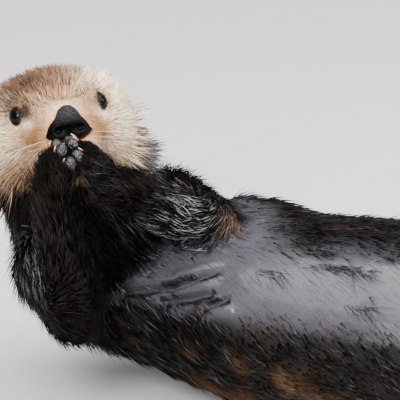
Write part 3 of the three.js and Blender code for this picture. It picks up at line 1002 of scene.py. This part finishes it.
class Growth(Graph):
    """A Geometry Nodes tree with named inputs."""

    def __init__(self, name, **kinds):
        super().__init__(bpy.data.node_groups.new(name, "GeometryNodeTree"))
        faces = self.tree.interface
        faces.new_socket("Geometry", in_out="INPUT", socket_type="NodeSocketGeometry")
        faces.new_socket("Geometry", in_out="OUTPUT", socket_type="NodeSocketGeometry")
        self.identifiers = {}
        for label, kind in kinds.items():
            made = faces.new_socket(label, in_out="INPUT", socket_type="NodeSocket" + kind)
            self.identifiers[label] = made.identifier
        self.start = self.tree.nodes.new("NodeGroupInput")
        self.end = self.tree.nodes.new("NodeGroupOutput")

    def given(self, label):
        return Value(self, self.start.outputs[label])

    def attribute(self, name, kind="FLOAT"):
        return self.node("GeometryNodeInputNamedAttribute", {"data_type": kind}, Name=name)

    def keep(self, geometry, name, kind, domain, value):
        settings = {"data_type": kind, "domain": domain}
        return self.node("GeometryNodeStoreNamedAttribute", settings, geometry, Name=name, Value=value)

    def random(self, low, high, seed, kind="FLOAT"):
        return self.node("FunctionNodeRandomValue", {"data_type": kind}, Min=low, Max=high, Seed=seed)

    def grown(self, thing, name, **values):
        """The plain mesh that this tree makes from an object, which stays as it was."""
        modifier = thing.modifiers.new("growth", "NODES")
        modifier.node_group = self.tree
        for label, value in values.items():
            modifier[self.identifiers[label]] = value
        seen = thing.evaluated_get(bpy.context.evaluated_depsgraph_get())
        mesh = bpy.data.meshes.new_from_object(seen)
        thing.modifiers.remove(modifier)
        mesh.name = name
        return mesh


PATCH = 0.003  # the size of one tuft on the unwrap
ROOTED = 0.8 * MM  # how deep a tuft is rooted in the skin
SIZES, VARIED = (0.55, 1.4), (0.6, 1.4)  # the least and most of a tuft's size, lift and girth

tufts = Growth(
    "tufts",
    Mask="String", Density="Float", Length="Float", Width="Float", Lift="Float", Bend="Float",
    Sway="Float", SwaySize="Float", Jitter="Float", Segments="Int", Seed="Int", Material="Material",
)
mask = tufts.attribute(tufts.given("Mask"))
seed = tufts.given("Seed")
scatter = tufts.node(
    "GeometryNodeDistributePointsOnFaces", {"distribute_method": "RANDOM"},
    tufts.given("Geometry"), Density=mask * tufts.given("Density"), Seed=seed,
)
out = scatter.also("Normal")
root = tufts.node("GeometryNodeInputPosition")
points = tufts.keep(scatter, "root", "FLOAT_VECTOR", "POINT", root)
points = tufts.keep(points, "tint", "FLOAT", "POINT", tufts.random(0.0, 1.0, seed + 1))
spot_uv = tufts.attribute("OFBake", "FLOAT_VECTOR")
points = tufts.keep(points, "root_uv", "FLOAT_VECTOR", "POINT", spot_uv)

# %% How a tuft leans
drift = tufts.noise(root, tufts.given("SwaySize"), 1.0, output="Color")
drift = tufts.scaled(tufts.vector("SUBTRACT", drift, (0.5, 0.5, 0.5)), tufts.given("Sway"))
shake = tufts.random((-1, -1, -1), (1, 1, 1), seed + 2, "FLOAT_VECTOR")
shake = tufts.scaled(shake, tufts.given("Jitter"))
flat = tufts.attribute("lie", "FLOAT_VECTOR")
flat = tufts.vector("NORMALIZE", tufts.vector("ADD", tufts.vector("ADD", flat, drift), shake))
angle = tufts.given("Lift") * tufts.random(*VARIED, seed + 3) * tufts.attribute("stand")
forwards = tufts.scaled(flat, angle.math("COSINE", angle))
leaning = tufts.vector("ADD", forwards, tufts.scaled(out, angle.math("SINE", angle)))
settings = {"axis": "Z", "pivot_axis": "AUTO"}
turn = tufts.node("FunctionNodeAlignRotationToVector", settings, Vector=leaning)
settings = {"axis": "X", "pivot_axis": "Z"}
down = tufts.scaled(out, -1.0)
turn = tufts.node("FunctionNodeAlignRotationToVector", settings, turn, Vector=down)

# %% The blade
blade = tufts.node(
    "GeometryNodeMeshCone", {"fill_type": "NGON"}, output="Mesh",
    Vertices=3, Side_Segments=tufts.given("Segments"), Radius_Top=0.0,
    Radius_Bottom=1.0, Depth=1.0,
)
blade = tufts.keep(blade, "blade_uv", "FLOAT_VECTOR", "CORNER", blade.also("UV Map"))
parts = tufts.node("ShaderNodeSeparateXYZ", None, tufts.node("GeometryNodeInputPosition"))
side_x, side_y, up = (parts.also(axis) for axis in "XYZ")
blade = tufts.keep(blade, "along", "FLOAT", "POINT", up)
fuller = (1.0 - up * 0.999) ** -0.35
across = tufts.given("Width") * fuller
bent = side_x * across * 0.45 + up * up * tufts.given("Bend") * tufts.given("Length")
shaped = tufts.node("ShaderNodeCombineXYZ", None, bent, side_y * across, up * tufts.given("Length"))
blade = tufts.node("GeometryNodeSetPosition", None, blade, Position=shaped)
blade = tufts.node("GeometryNodeSetShadeSmooth", None, blade)

# %% Placed and realized
size = tufts.attribute("reach") * tufts.random(*SIZES, seed + 4)
girth = size * tufts.random(*VARIED, seed + 5)
sunk = tufts.scaled(leaning, -ROOTED)
points = tufts.node("GeometryNodeSetPosition", None, points, Offset=sunk)
placed = tufts.node(
    "GeometryNodeInstanceOnPoints", None, points, Instance=blade, Rotation=turn,
    Scale=tufts.node("ShaderNodeCombineXYZ", None, size, girth, size),
)
solid = tufts.node("GeometryNodeRealizeInstances", None, placed)
inset = tufts.vector("SUBTRACT", tufts.attribute("blade_uv", "FLOAT_VECTOR"), (0.5, 0.5, 0))
root_uv = tufts.attribute("root_uv", "FLOAT_VECTOR")
own_uv = tufts.vector("ADD", root_uv, tufts.scaled(inset, PATCH))
solid = tufts.keep(solid, "OFBake", "FLOAT2", "CORNER", own_uv)
solid = tufts.node("GeometryNodeSetMaterial", None, solid, Material=tufts.given("Material"))
tufts.feed(tufts.end.inputs["Geometry"], solid)
print("tuft tree:", len(tufts.tree.nodes), "nodes")

# %% [markdown]
# ## Fur finish
# Dry guard hair is matt, with darker roots and pale tips, and on the crown dark hairs stand
# among pale ones. The darker roots are partly the hair's own colour and partly painted shade
# deep in the coat. Wet hair is dark and shiny. Its silver hairs are partly painted glints, and
# sleek hair is lightened with painted sheen. All start from the colour of the skin at the root.

# %% Fur finish
fur = Shader("fur", Coat_Roughness=0.3, Specular_IOR_Level=0.06)
along, tint = fur.attribute("along"), fur.attribute("tint")
fur_mottle = fur.attribute("mottle")
clumps = fur.noise(fur.attribute("root", "Vector"), 240.0, 2.0)
streaks = 1.0 + fur_mottle * fur.remap(tint * 0.6 + clumps * 1.6, 0.7, 1.4, -0.7, 0.5)
fur_wet, fur_sleek_and_sheen = fur.attribute("wet"), fur.attribute("sleek")
# darker roots: partly the hair's own colour, partly painted shade deep in the coat
dark_root_and_shade = fur.remap(along, 0.0, 0.8, 0.36, 1.12)
# painted sheen: sleek tufts lose their dark roots and are lightened, to match the sheen of the film
# around them
dark_root_and_shade = dark_root_and_shade + (0.95 - dark_root_and_shade) * fur_sleek_and_sheen
fur_shade = dark_root_and_shade * streaks * fur.remap(tint, 0.0, 1.0, 0.8, 1.12) * (1.0 + fur_sleek_and_sheen * 0.3)
# painted glints: some tufts turn silver, partly grizzled guard hairs and partly highlights of the light
# on wet fur
silver_and_glint = fur.attribute("frost") * fur.remap(tint + clumps * 0.7, 1.0, 1.2, 0.0, 1.0)
base = fur.mix(silver_and_glint, fur.attribute("coat", "Color"), tone(150, 150, 158))
pale_tip = fur.remap(along, 0.5, 1.0, 0.0, 0.06) * fur_mottle
base = fur.mix(pale_tip, base, tone(238, 216, 192))
fur_colour = fur.scaled(base, fur_shade)
fur_rough = 0.75 - fur_wet * 0.4 - fur_sleek_and_sheen * 0.05
fur_gloss = fur.attribute("gloss") + silver_and_glint * 0.8
fur_material = fur.finish(Base_Color=fur_colour, Roughness=fur_rough, Coat_Weight=fur_gloss)
print("fur:", len(fur.tree.nodes), "nodes")

# %% [markdown]
# ## The coat, piece by piece
# The coat is grown in several pieces, so that each stays a moderate mesh. A piece has its
# own mask, hair length and lift. The masks overlap softly, so no border shows.

# %% Masks
x, y, z = spot.T
nose_middle = in_head(middle("nose"))
nose_bare = soft_step(np.linalg.norm((spot - nose_middle) / (15, 23, 15), axis=1), 0.85, 1.0)
dry = on_head * bare * nose_bare
short_face = np.clip(
    soft_step(x, 12, 34) * soft_step(-z, -26, -10)
    + mirrored_near(spot, EYE_PLACE / MM, (14, 13, 12)), 0, 1)
top = soft_step(z, 2, 14)
body = 1 - on_head
furred_paw = 1 - palm
EAR_REACH = 11 * MM
on_ear = part_share("ear_left", "ear_right")
by_ear = sum(near(places, middle(f"ear_{side}"), EAR_REACH) for side in SIDES)
by_ear = np.clip(by_ear + on_ear, 0, 1)
ruff = mirrored_near(spot, (-21, 79, -32), (17, 17, 23)) * (1 - on_ear)
masks = {
    "muzzle": dry * short_face,
    "crown": dry * (1 - short_face) * top,
    "cheek_left": dry * (1 - short_face) * (1 - top) * soft_step(y, -4, 4),
    "cheek_right": dry * (1 - short_face) * (1 - top) * soft_step(-y, -4, 4),
    "ruff": ruff,
    "neck": body * part_share("head", "neck", "ear_left", "ear_right"),
    "arm_left": body * part_share("upper_arm_left", "forearm_left"),
    "arm_right": body * part_share("upper_arm_right", "forearm_right"),
    "chest": body * part_share("chest") * (1 - sleek),
    "sleek": body * sleek * (1 - soft_step(crease, 0.3, 0.6)),
    "folds": trunk * soft_step(crease, 0.35, 0.8),
    "strays": strays,
    "belly": body * part_share("belly") * (1 - sleek),
    "hind": body * part_share(
        "hips", "tail_base", "tail_tip", "thigh_left", "thigh_right", "shank_left", "shank_right"
    ) * (1 - sleek),
    "paws": part_share("forepaw_left", "forepaw_right") * furred_paw,
    "flippers": part_share("hind_flipper_left", "hind_flipper_right"),
}

# %% How far hair reaches, and how it stands
arm_solids = Solids([f"{part}_{side}" for part in ("upper_arm", "forearm", "forepaw") for side in SIDES])
by_arm = 1 - soft_step(-arm_solids.measure(places)[0], 4 * MM, 26 * MM)
low_cheek = near(spot, (0, -56, -34), (26, 26, 18)) - 1.3 * near(spot, (0, 60, -46), (24, 26, 15))
shoulder = near(places, middle("neck") + np.array((-0.012, -0.035, -0.020)), (0.035, 0.05, 0.05))
shoulder = (shoulder + near(places, far_shoulder, (0.03, 0.04, 0.05))) * (1 - on_head)
reach = 1 - 0.5 * near(spot, (52, 0, -8), (24, 28, 24)) - 0.45 * lid_share
outer_paw = near(places, paws["right"].middle + np.array((-0.012, 0.004, -0.012)), (0.02, 0.02, 0.028))
reach += 0.6 * outer_paw + 0.5 * shoulder
reach += 0.3 * low_cheek - 0.55 * by_ear - 0.5 * finger_tips - 0.7 * by_arm * on_head
reach = np.clip(reach, 0.25, 1.5)
store(skin_mesh, "reach", "FLOAT", reach)
stand = 1 - 0.4 * lid_share - 0.5 * by_arm * on_head + outer_paw + shoulder - 0.4 * by_ear
store(skin_mesh, "stand", "FLOAT", np.clip(stand, 0.1, 2))
for label, mask_values in masks.items():
    store(skin_mesh, "mask_" + label, "FLOAT", np.clip(mask_values, 0, 1))

# %% How large each mask is
triangles = np.empty(len(skin_mesh.polygons) * 3, np.int32)
skin_mesh.polygons.foreach_get("vertices", triangles)
triangles = triangles.reshape(-1, 3)
areas = np.empty(len(skin_mesh.polygons))
skin_mesh.polygons.foreach_get("area", areas)


def masked_area(mask_values):
    return (np.clip(mask_values, 0, 1)[triangles].mean(1) * areas).sum()


print("areas:", {label: round(masked_area(values), 4) for label, values in masks.items()})

# %% Grow
KEPT = {
    "along", "tint", "root", "coat", "wet", "mottle", "sleek", "gloss", "frost", "OFBake", "position",
    "material_index",
}


def grow_coat(label, count, length, width, lift, bend, sway, sway_size, jitter):
    """One piece of the coat. Lengths are in millimetres and angles in degrees."""
    mesh = tufts.grown(
        skin, "coat_" + label,
        Mask="mask_" + label, Density=count / masked_area(masks[label]),
        Length=length * MM, Width=width * MM / 2, Lift=math.radians(lift), Bend=bend,
        Sway=sway, SwaySize=sway_size, Jitter=jitter, Segments=BLADE_SEGMENTS,
        Seed=len(label) * 7, Material=fur_material,
    )
    for name in [attribute.name for attribute in mesh.attributes]:
        if name not in KEPT and not name.startswith("."):
            mesh.attributes.remove(mesh.attributes[name])
    places = get_places(mesh)
    places[:, 2] = np.maximum(places[:, 2], 0)  # hair is pressed flat by the floor
    set_places(mesh, places)
    coat_piece = linked("coat_" + label, mesh)
    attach(coat_piece, BODY_NAME)
    mesh.calc_loop_triangles()
    print(coat_piece.name, len(mesh.loop_triangles), "triangles")
    return len(mesh.loop_triangles)


BLADE_SEGMENTS = 2
DRY, WET = (0.9, 110.0), (1.3, 70.0)  # how far the tufts sway together, and how finely
# Each piece: its tufts, their length, width, lift and bend, how they sway, and their jitter.
COAT = {
    "muzzle": (16500, 5, 0.75, 22, 0.15, *DRY, 0.2),
    "crown": (19500, 10, 0.95, 46, 0.15, *DRY, 0.3),
    "cheek_left": (16500, 11.5, 1.0, 32, 0.15, *DRY, 0.28),
    "cheek_right": (14500, 13, 1.0, 28, 0.15, *DRY, 0.25),
    "ruff": (3000, 27, 1.3, 55, 0.15, *WET, 0.3),
    "neck": (9500, 20, 1.5, 24, 0.2, *WET, 0.12),
    "arm_left": (12000, 22, 1.0, 15, 0.25, *WET, 0.25),
    "arm_right": (11000, 20, 1.1, 15, 0.25, *WET, 0.2),
    "chest": (9000, 18, 1.6, 12, 0.2, *WET, 0.12),
    "sleek": (3000, 14, 0.28, 1.0, 0.02, 0.4, 40.0, 0.06),
    "folds": (1600, 6, 0.6, 16, 0.3, 1.0, 90.0, 0.25),
    "strays": (200, 22, 0.9, 14, 0.3, 1.0, 90.0, 0.6),
    "belly": (11200, 13, 1.6, 13, 0.15, *WET, 0.12),
    "hind": (12500, 14, 1.5, 10, 0.12, *WET, 0.12),
    "paws": (5000, 8, 0.9, 18, 0.2, 0.7, 90.0, 0.12),
    "flippers": (4500, 8, 1.2, 6, 0.1, 0.5, 60.0, 0.12),
}
coat_total = sum(grow_coat(label, *sizes) for label, sizes in COAT.items())
print("coat in all:", coat_total, "triangles")

# %% [markdown]
# ## Eyes
# A sea otter's eye is small, round and nearly black. A wet, glossy ball shows one bright
# highlight. The ball has a cornea that stands out a little, and a thin dark lid rim lies
# round it like a gasket.

# %% Swept tubes


def swept(points, radii, sides, closed=False, flatten=1.0, flat_axis=None):
    """The points and faces of a tube along a path. An open one has closed, pointed ends."""
    count = len(points)
    points = np.asarray(points, float)
    ahead = np.roll(points, -1, 0) - np.roll(points, 1, 0)
    if not closed:
        ahead[0], ahead[-1] = points[1] - points[0], points[-1] - points[-2]
    ahead /= np.linalg.norm(ahead, axis=1)[:, None]
    guide = flat_axis if flat_axis is not None else np.roll(ahead[0], 1) + (0.1, 0.2, 0.3)
    first = np.cross(ahead, guide)
    first /= np.linalg.norm(first, axis=1)[:, None]
    second = np.cross(ahead, first)
    turns = np.arange(sides) * 2 * np.pi / sides
    ring = first[:, None] * np.cos(turns)[:, None] + second[:, None] * np.sin(turns)[:, None] * flatten
    corners = (points[:, None] + ring * np.asarray(radii)[:, None, None]).reshape(-1, 3)
    faces = []
    for i in range(count if closed else count - 1):
        for j in range(sides):
            here, there = i * sides, (i + 1) % count * sides
            faces.append((here + j, here + (j + 1) % sides, there + (j + 1) % sides, there + j))
    if not closed:
        faces.append(tuple(range(sides))[::-1])
        faces.append(tuple(range((count - 1) * sides, count * sides)))
    return corners, faces


def mesh_of(name, pieces, material, values=None):
    """One smooth mesh of several sets of points and faces."""
    corners, faces, start = [], [], 0
    for piece_corners, piece_faces in pieces:
        corners.append(piece_corners)
        faces += [tuple(start + corner for corner in one) for one in piece_faces]
        start += len(piece_corners)
    mesh = bpy.data.meshes.new(name)
    mesh.from_pydata(np.concatenate(corners).tolist(), [], faces)
    shell = bmesh.new()
    shell.from_mesh(mesh)
    bmesh.ops.recalc_face_normals(shell, faces=shell.faces)
    shell.to_mesh(mesh)
    shell.free()
    mesh.shade_smooth()
    mesh.materials.append(material)
    for label, numbers in (values or {}).items():
        store(mesh, label, "FLOAT", numbers)
    return mesh


# %% Eye finish
eye_gloss = Shader("eye_gloss", IOR=1.38, Specular_IOR_Level=0.12)
from_pupil = eye_gloss.attribute("from_pupil")
fibres = eye_gloss.noise(eye_gloss.place(), 900.0, 3.0)
iris_stops = [
    (0.0, (0.001, 0.001, 0.001)), (0.30, (0.001, 0.001, 0.001)), (0.36, (0.008, 0.004, 0.003)),
    (0.62, (0.005, 0.003, 0.002)), (0.72, (0.002, 0.001, 0.001)), (1.0, (0.006, 0.004, 0.003)),
]
iris = eye_gloss.node(
    "ShaderNodeValToRGB", {"stops": iris_stops}, from_pupil + (fibres - 0.5) * 0.06, output="Color"
)
eye_material = eye_gloss.finish(Base_Color=iris, Roughness=0.06 + fibres * 0.04)

lid_skin = Shader("lid_skin", Specular_IOR_Level=0.1)
lid_grain = lid_skin.noise(lid_skin.place(), 1400.0, 2.0)
lid_paint = lid_skin.mix(lid_grain, tone(12, 8, 7), tone(30, 22, 18))
lid_bump = lid_skin.bump(lid_grain, 0.0003, 0.6)
lid_material = lid_skin.finish(Base_Color=lid_paint, Roughness=0.5 + lid_grain * 0.2, Normal=lid_bump)

# %% Eyeballs and lid rims
RIM_STEPS, RIM_RADIUS = 56, 0.55 * MM
CORNEA_RISE, CORNEA_EDGE = 0.05, math.radians(38)
for side, eye in eyes.items():
    ball = bmesh.new()
    bmesh.ops.create_uvsphere(ball, u_segments=48, v_segments=32, radius=1)
    turn = Matrix([eye.outwards, eye.up, eye.look]).transposed()
    from_axis = []
    for corner in ball.verts:
        angle = math.acos(max(-1, min(1, corner.co.z)))
        rise_share = 1 + CORNEA_RISE * (1 - soft_step(angle, 0.4 * CORNEA_EDGE, 1.3 * CORNEA_EDGE))
        corner.co = turn @ (corner.co * EYE_RADIUS * rise_share) + Vector(eye.middle)
        from_axis.append(angle / math.radians(90))
    ball_mesh = bpy.data.meshes.new("eyeball_" + side)
    ball.to_mesh(ball_mesh)
    ball.free()
    ball_mesh.shade_smooth()
    ball_mesh.materials.append(eye_material)
    store(ball_mesh, "from_pupil", "FLOAT", np.clip(from_axis, 0, 1))
    eyeball = linked("eyeball_" + side, ball_mesh)
    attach(eyeball, BODY_NAME)
    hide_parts("eye_" + side)

    angles = np.linspace(-np.pi, np.pi, RIM_STEPS, endpoint=False)
    across = eye.opening(angles)
    height = np.sqrt((EYE_RADIUS + 0.3 * MM) ** 2 - across**2)
    rim = eye.middle + np.outer(across * np.cos(angles), eye.outwards)
    rim = rim + np.outer(across * np.sin(angles), eye.up) + np.outer(height, eye.look)
    rim_piece = swept(rim, np.full(RIM_STEPS, RIM_RADIUS), 10, closed=True)
    lid_rim = linked("lid_rim_" + side, mesh_of("lid_rim", [rim_piece], lid_material))
    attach(lid_rim, BODY_NAME)
    print(eyeball.name, len(ball_mesh.polygons), "faces, opening, in mm:", (across / MM).round(1).max())

# %% [markdown]
# ## Nose
# The nose pad is bare, black leather with a fine pebble grain. It is made from the solid:
# remeshed finely, relaxed, and then pressed in at the nostrils and along the middle.

# %% Nose
NOSE_VOXEL = 0.8 * MM
nose_mesh = remeshed(joined(node_meshes(["nose"])), NOSE_VOXEL)
nose_web, nose_places = softened(nose_mesh, 8)
nose_normals = get_normals(nose_mesh)
nose_spot = in_head(nose_places)
ny, nz = nose_spot.T[1:]
hollow = mirrored_near(nose_spot, (66, 10, -16.5), (7, 4.6, 3.4))
slit = mirrored_near(nose_spot, (62, 17.5, -17), (7, 5, 1.7))
cleft = np.exp(-((ny / 1.3) ** 2)) * soft_step(-nz, 12, 18)
wing = mirrored_near(nose_spot, (64, 11, -8.5), (7, 7, 3.5))
press = 0.4 - 2.2 * hollow - 1.6 * slit - 1.2 * cleft + 0.5 * wing
nose_places = nose_places + nose_normals * (nose_web.relaxed(press, 1) * MM)[:, None]
set_places(nose_mesh, nose_web.relaxed(nose_places, 1))
nose_mesh.shade_smooth()
# painted sheen: the top of the pad is paler grey, where it reflects the light from above
nose_top_sheen = soft_step(nz, -14, 2) * (1 - np.clip(hollow + slit, 0, 1))
store(nose_mesh, "top", "FLOAT", nose_top_sheen)
store(nose_mesh, "hollow", "FLOAT", np.clip(hollow * 1.2 + slit, 0, 1))

leather = Shader("nose_leather", Specular_IOR_Level=0.05)
cells = leather.cells(leather.place(), 520.0)
folds = leather.noise(leather.place(), 300.0, 3.0)
# painted sheen: pale grey on the top, near black below
nose_paint = leather.mix(leather.attribute("top"), tone(2, 2, 2), tone(44, 42, 44))
# painted shade: the nostrils are painted nearly black, for the shade deep inside them
nose_shade = leather.remap(cells, 0.1, 0.7, 1.35, 0.5) * (1.0 - leather.attribute("hollow") * 0.97)
nose_grain = (folds * 0.5 - cells) * (0.25 + leather.attribute("top") * 0.75)
nose_bump = leather.bump(nose_grain, 0.0012, 1.0)
nose_material = leather.finish(
    Base_Color=leather.scaled(nose_paint, nose_shade * leather.remap(folds, 0.3, 0.7, 0.85, 1.15)),
    Roughness=leather.remap(cells, 0.1, 0.7, 0.38, 0.55), Normal=nose_bump,
)
nose_mesh.materials.append(nose_material)
nose = linked("nose_pad", nose_mesh)
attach(nose, BODY_NAME)
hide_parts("nose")
print("nose:", len(nose_mesh.polygons), "faces")

# %% [markdown]
# ## Claws, pads and whiskers
# The claws are short, curved cones of horn. Those of the forepaws are reddish at the root and
# pale at the tip, and the hind ones are dark. Each is swept along a small arc where its solid
# lies.

# %% Claws
horn = Shader("claw_horn", Coat_Weight=0.3, Coat_Roughness=0.2)
claw_along = horn.attribute("along")
claw_lines = horn.noise(horn.stretched(horn.place(), (300, 300, 300)), 5.0, 2.0)
horn_stops = [
    (0.0, tone(52, 14, 10)), (0.4, tone(118, 46, 34)),
    (0.7, tone(168, 112, 94)), (1.0, tone(206, 184, 168)),
]
horn_paint = horn.node("ShaderNodeValToRGB", {"stops": horn_stops}, claw_along, output="Color")
horn_paint = horn.mix(horn.attribute("hind"), horn_paint, tone(52, 44, 40))
horn_material = horn.finish(
    Base_Color=horn.scaled(horn_paint, horn.remap(claw_lines, 0.3, 0.7, 0.85, 1.1)),
    Roughness=0.3 + claw_lines * 0.15,
)
CLAW_STEPS, CLAW_SIDES, CLAW_DROOP = 9, 10, 0.25
CLAW_STRETCH, CLAW_GIRTH = 0.8, 0.85


def claw_piece(node, away_from, back):
    """A curved claw where the solid lies, its tip turned down from the back of the foot."""
    corners = corners_of(node)
    axis = long_axis(corners, 2 * corners.mean(0) - away_from)
    reach_along = (corners - corners.mean(0)) @ axis
    length = np.ptp(reach_along) * CLAW_STRETCH
    base = corners.mean(0) + axis * reach_along.min() + back * 0.6 * MM
    share = np.linspace(0, 1, CLAW_STEPS)
    path = base + np.outer(share * length, axis) - np.outer(share**2 * CLAW_DROOP * length, back)
    path += np.outer(share * 0.1 * length, back)
    from_axis = corners - corners.mean(0) - np.outer(reach_along, axis)
    thickness = CLAW_GIRTH * np.linalg.norm(from_axis, axis=1).max()
    radii = thickness * (1 - share**1.6 * 0.93)
    return swept(path, radii, CLAW_SIDES), np.repeat(share, CLAW_SIDES)


claw_pieces, claw_shares, claw_hind, claw_nodes = [], [], [], []
for side in SIDES:
    hind = f"hind_flipper_{side}"
    hind_middle = corners_of(hind).mean(0)
    for i in FINGERS:
        fore_claw, hind_claw = f"fore_claw_{side}_{i}", f"hind_claw_{side}_{i}"
        for node, start, back_way in (
            (fore_claw, paws[side].middle, paws[side].back),
            (hind_claw, hind_middle, np.array((0, 0, 1))),
        ):
            piece, share = claw_piece(node, start, back_way)
            claw_pieces.append(piece)
            claw_shares.append(share)
            claw_hind.append(np.full(len(share), float(node == hind_claw)))
            claw_nodes.append(node)
claw_mesh = mesh_of("claws", claw_pieces, horn_material, {
    "along": np.concatenate(claw_shares), "hind": np.concatenate(claw_hind),
})
claws = linked("claws", claw_mesh)
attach(claws, BODY_NAME)
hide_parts(*claw_nodes)
print("claws:", len(claw_pieces), "of", len(claw_mesh.polygons), "faces in all")

# %% [markdown]
# Each pad is a thick, rounded cushion of pebbled skin. The pads of a paw are squashed balls
# melted together by a remesh, so that they grow out of the paw.

# %% Pads


def squashed_ball(centre, axes, radii):
    """The points and faces of a ball with its own three directions and radii."""
    ball = bmesh.new()
    bmesh.ops.create_icosphere(ball, subdivisions=3, radius=1)
    turn = np.stack(axes) * np.array(radii)[:, None] * MM
    corners = np.array([corner.co for corner in ball.verts]) @ turn + centre
    faces = [tuple(corner.index for corner in one.verts) for one in ball.faces]
    ball.free()
    return corners, faces


pad_skin = Shader("pad_skin", Specular_IOR_Level=0.5)
pad_cells = pad_skin.cells(pad_skin.place(), 520.0)
pad_blotch = pad_skin.noise(pad_skin.place(), 220.0, 3.0)
pad_paint = pad_skin.mix(pad_blotch, tone(7, 6, 7), tone(22, 20, 21))
pad_material = pad_skin.finish(
    Base_Color=pad_skin.scaled(pad_paint, pad_skin.remap(pad_cells, 0.1, 0.7, 1.15, 0.65)),
    Roughness=0.3 + pad_blotch * 0.25, Normal=pad_skin.bump(pad_blotch * 0.6 - pad_cells, 0.0011, 0.8),
)
# Places count from a claw's root, or the middle of all five, in the paw's own directions.
PAD_PLACE, PAD_RADII = (-4.8, 0, -5.6), (6.9, 5.8, 5.6)
PALM_PLACE, PALM_RADII = (-27, 0, -9.5), (11, 13, 6)
PAD_VOXEL, WRINKLE_SIZE, WRINKLE_DEPTH = 0.9 * MM, 3.0 * MM, 1.6 * MM
for side, paw in paws.items():
    axes = (paw.fingers, paw.lateral, paw.back)
    cushions = [
        squashed_ball(paw.place(claw_root, *PAD_PLACE), axes, PAD_RADII)
        for claw_root in paw.claw_roots
    ]
    palm_root = paw.place(np.mean(paw.claw_roots, axis=0), *PALM_PLACE)
    cushions.append(squashed_ball(palm_root, axes, PALM_RADII))
    lump = mesh_of("pads_" + side, cushions, pad_material)
    pad_mesh = remeshed(lump, PAD_VOXEL)
    pad_places = softened(pad_mesh, 3)[1]
    wrinkles = (patchy(pad_places, WRINKLE_SIZE) - 0.5) * WRINKLE_DEPTH
    set_places(pad_mesh, pad_places + get_normals(pad_mesh) * wrinkles[:, None])
    pad_mesh.shade_smooth()
    pad_mesh.materials.clear()
    pad_mesh.materials.append(pad_material)
    pads = linked("pads_" + side, pad_mesh)
    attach(pads, BODY_NAME)
    print(pads.name, len(pad_mesh.polygons), "faces")

# %% [markdown]
# Whiskers are stiff, pale hairs in rows on both sides of the muzzle. Each is a very thin
# tube that tapers along its length and curves back and down. The hindmost are the longest.

# %% Whiskers
whisker_finish = Shader("whisker")
whisker_tone = whisker_finish.noise(whisker_finish.place(), 120.0, 1.0)
whisker_material = whisker_finish.finish(
    Base_Color=whisker_finish.mix(whisker_tone, tone(176, 158, 138), tone(216, 202, 186)),
    Roughness=0.4 + whisker_tone * 0.1,
)
ROWS, IN_ROW, WHISKER_STEPS = 4, 4, 8
ROOT_RADIUS, WHISKER_TAPER = 0.11, 0.07
whisker_pieces = []
for sign in (1, -1):
    for row in range(ROWS):
        for i in range(IN_ROW):
            along_row = i / (IN_ROW - 1)
            start = np.array((58 - 14 * along_row, 20 + 14 * along_row, -22 - 4 * row))
            heading = unit(np.array((0.50 - 0.45 * along_row, 0.75, -0.10 - 0.16 * row)))
            length = 30 + 22 * along_row - 3 * row
            share = np.linspace(0, 1, WHISKER_STEPS)
            path = start + np.outer(share * length, heading)
            path += np.outer(share**2 * length, (-0.22, 0.0, -0.16))
            path[:, 1] *= sign
            radii = (ROOT_RADIUS - WHISKER_TAPER * share) * MM
            whisker_pieces.append(swept(from_head(path), radii, 5))
whiskers = linked("whiskers", mesh_of("whiskers", whisker_pieces, whisker_material))
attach(whiskers, BODY_NAME)
print("whiskers:", len(whisker_pieces))

# %% The skin joins the frame
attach(skin, BODY_NAME)
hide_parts(*flesh_nodes)
print("the skin stands for", len(flesh_nodes), "solids")
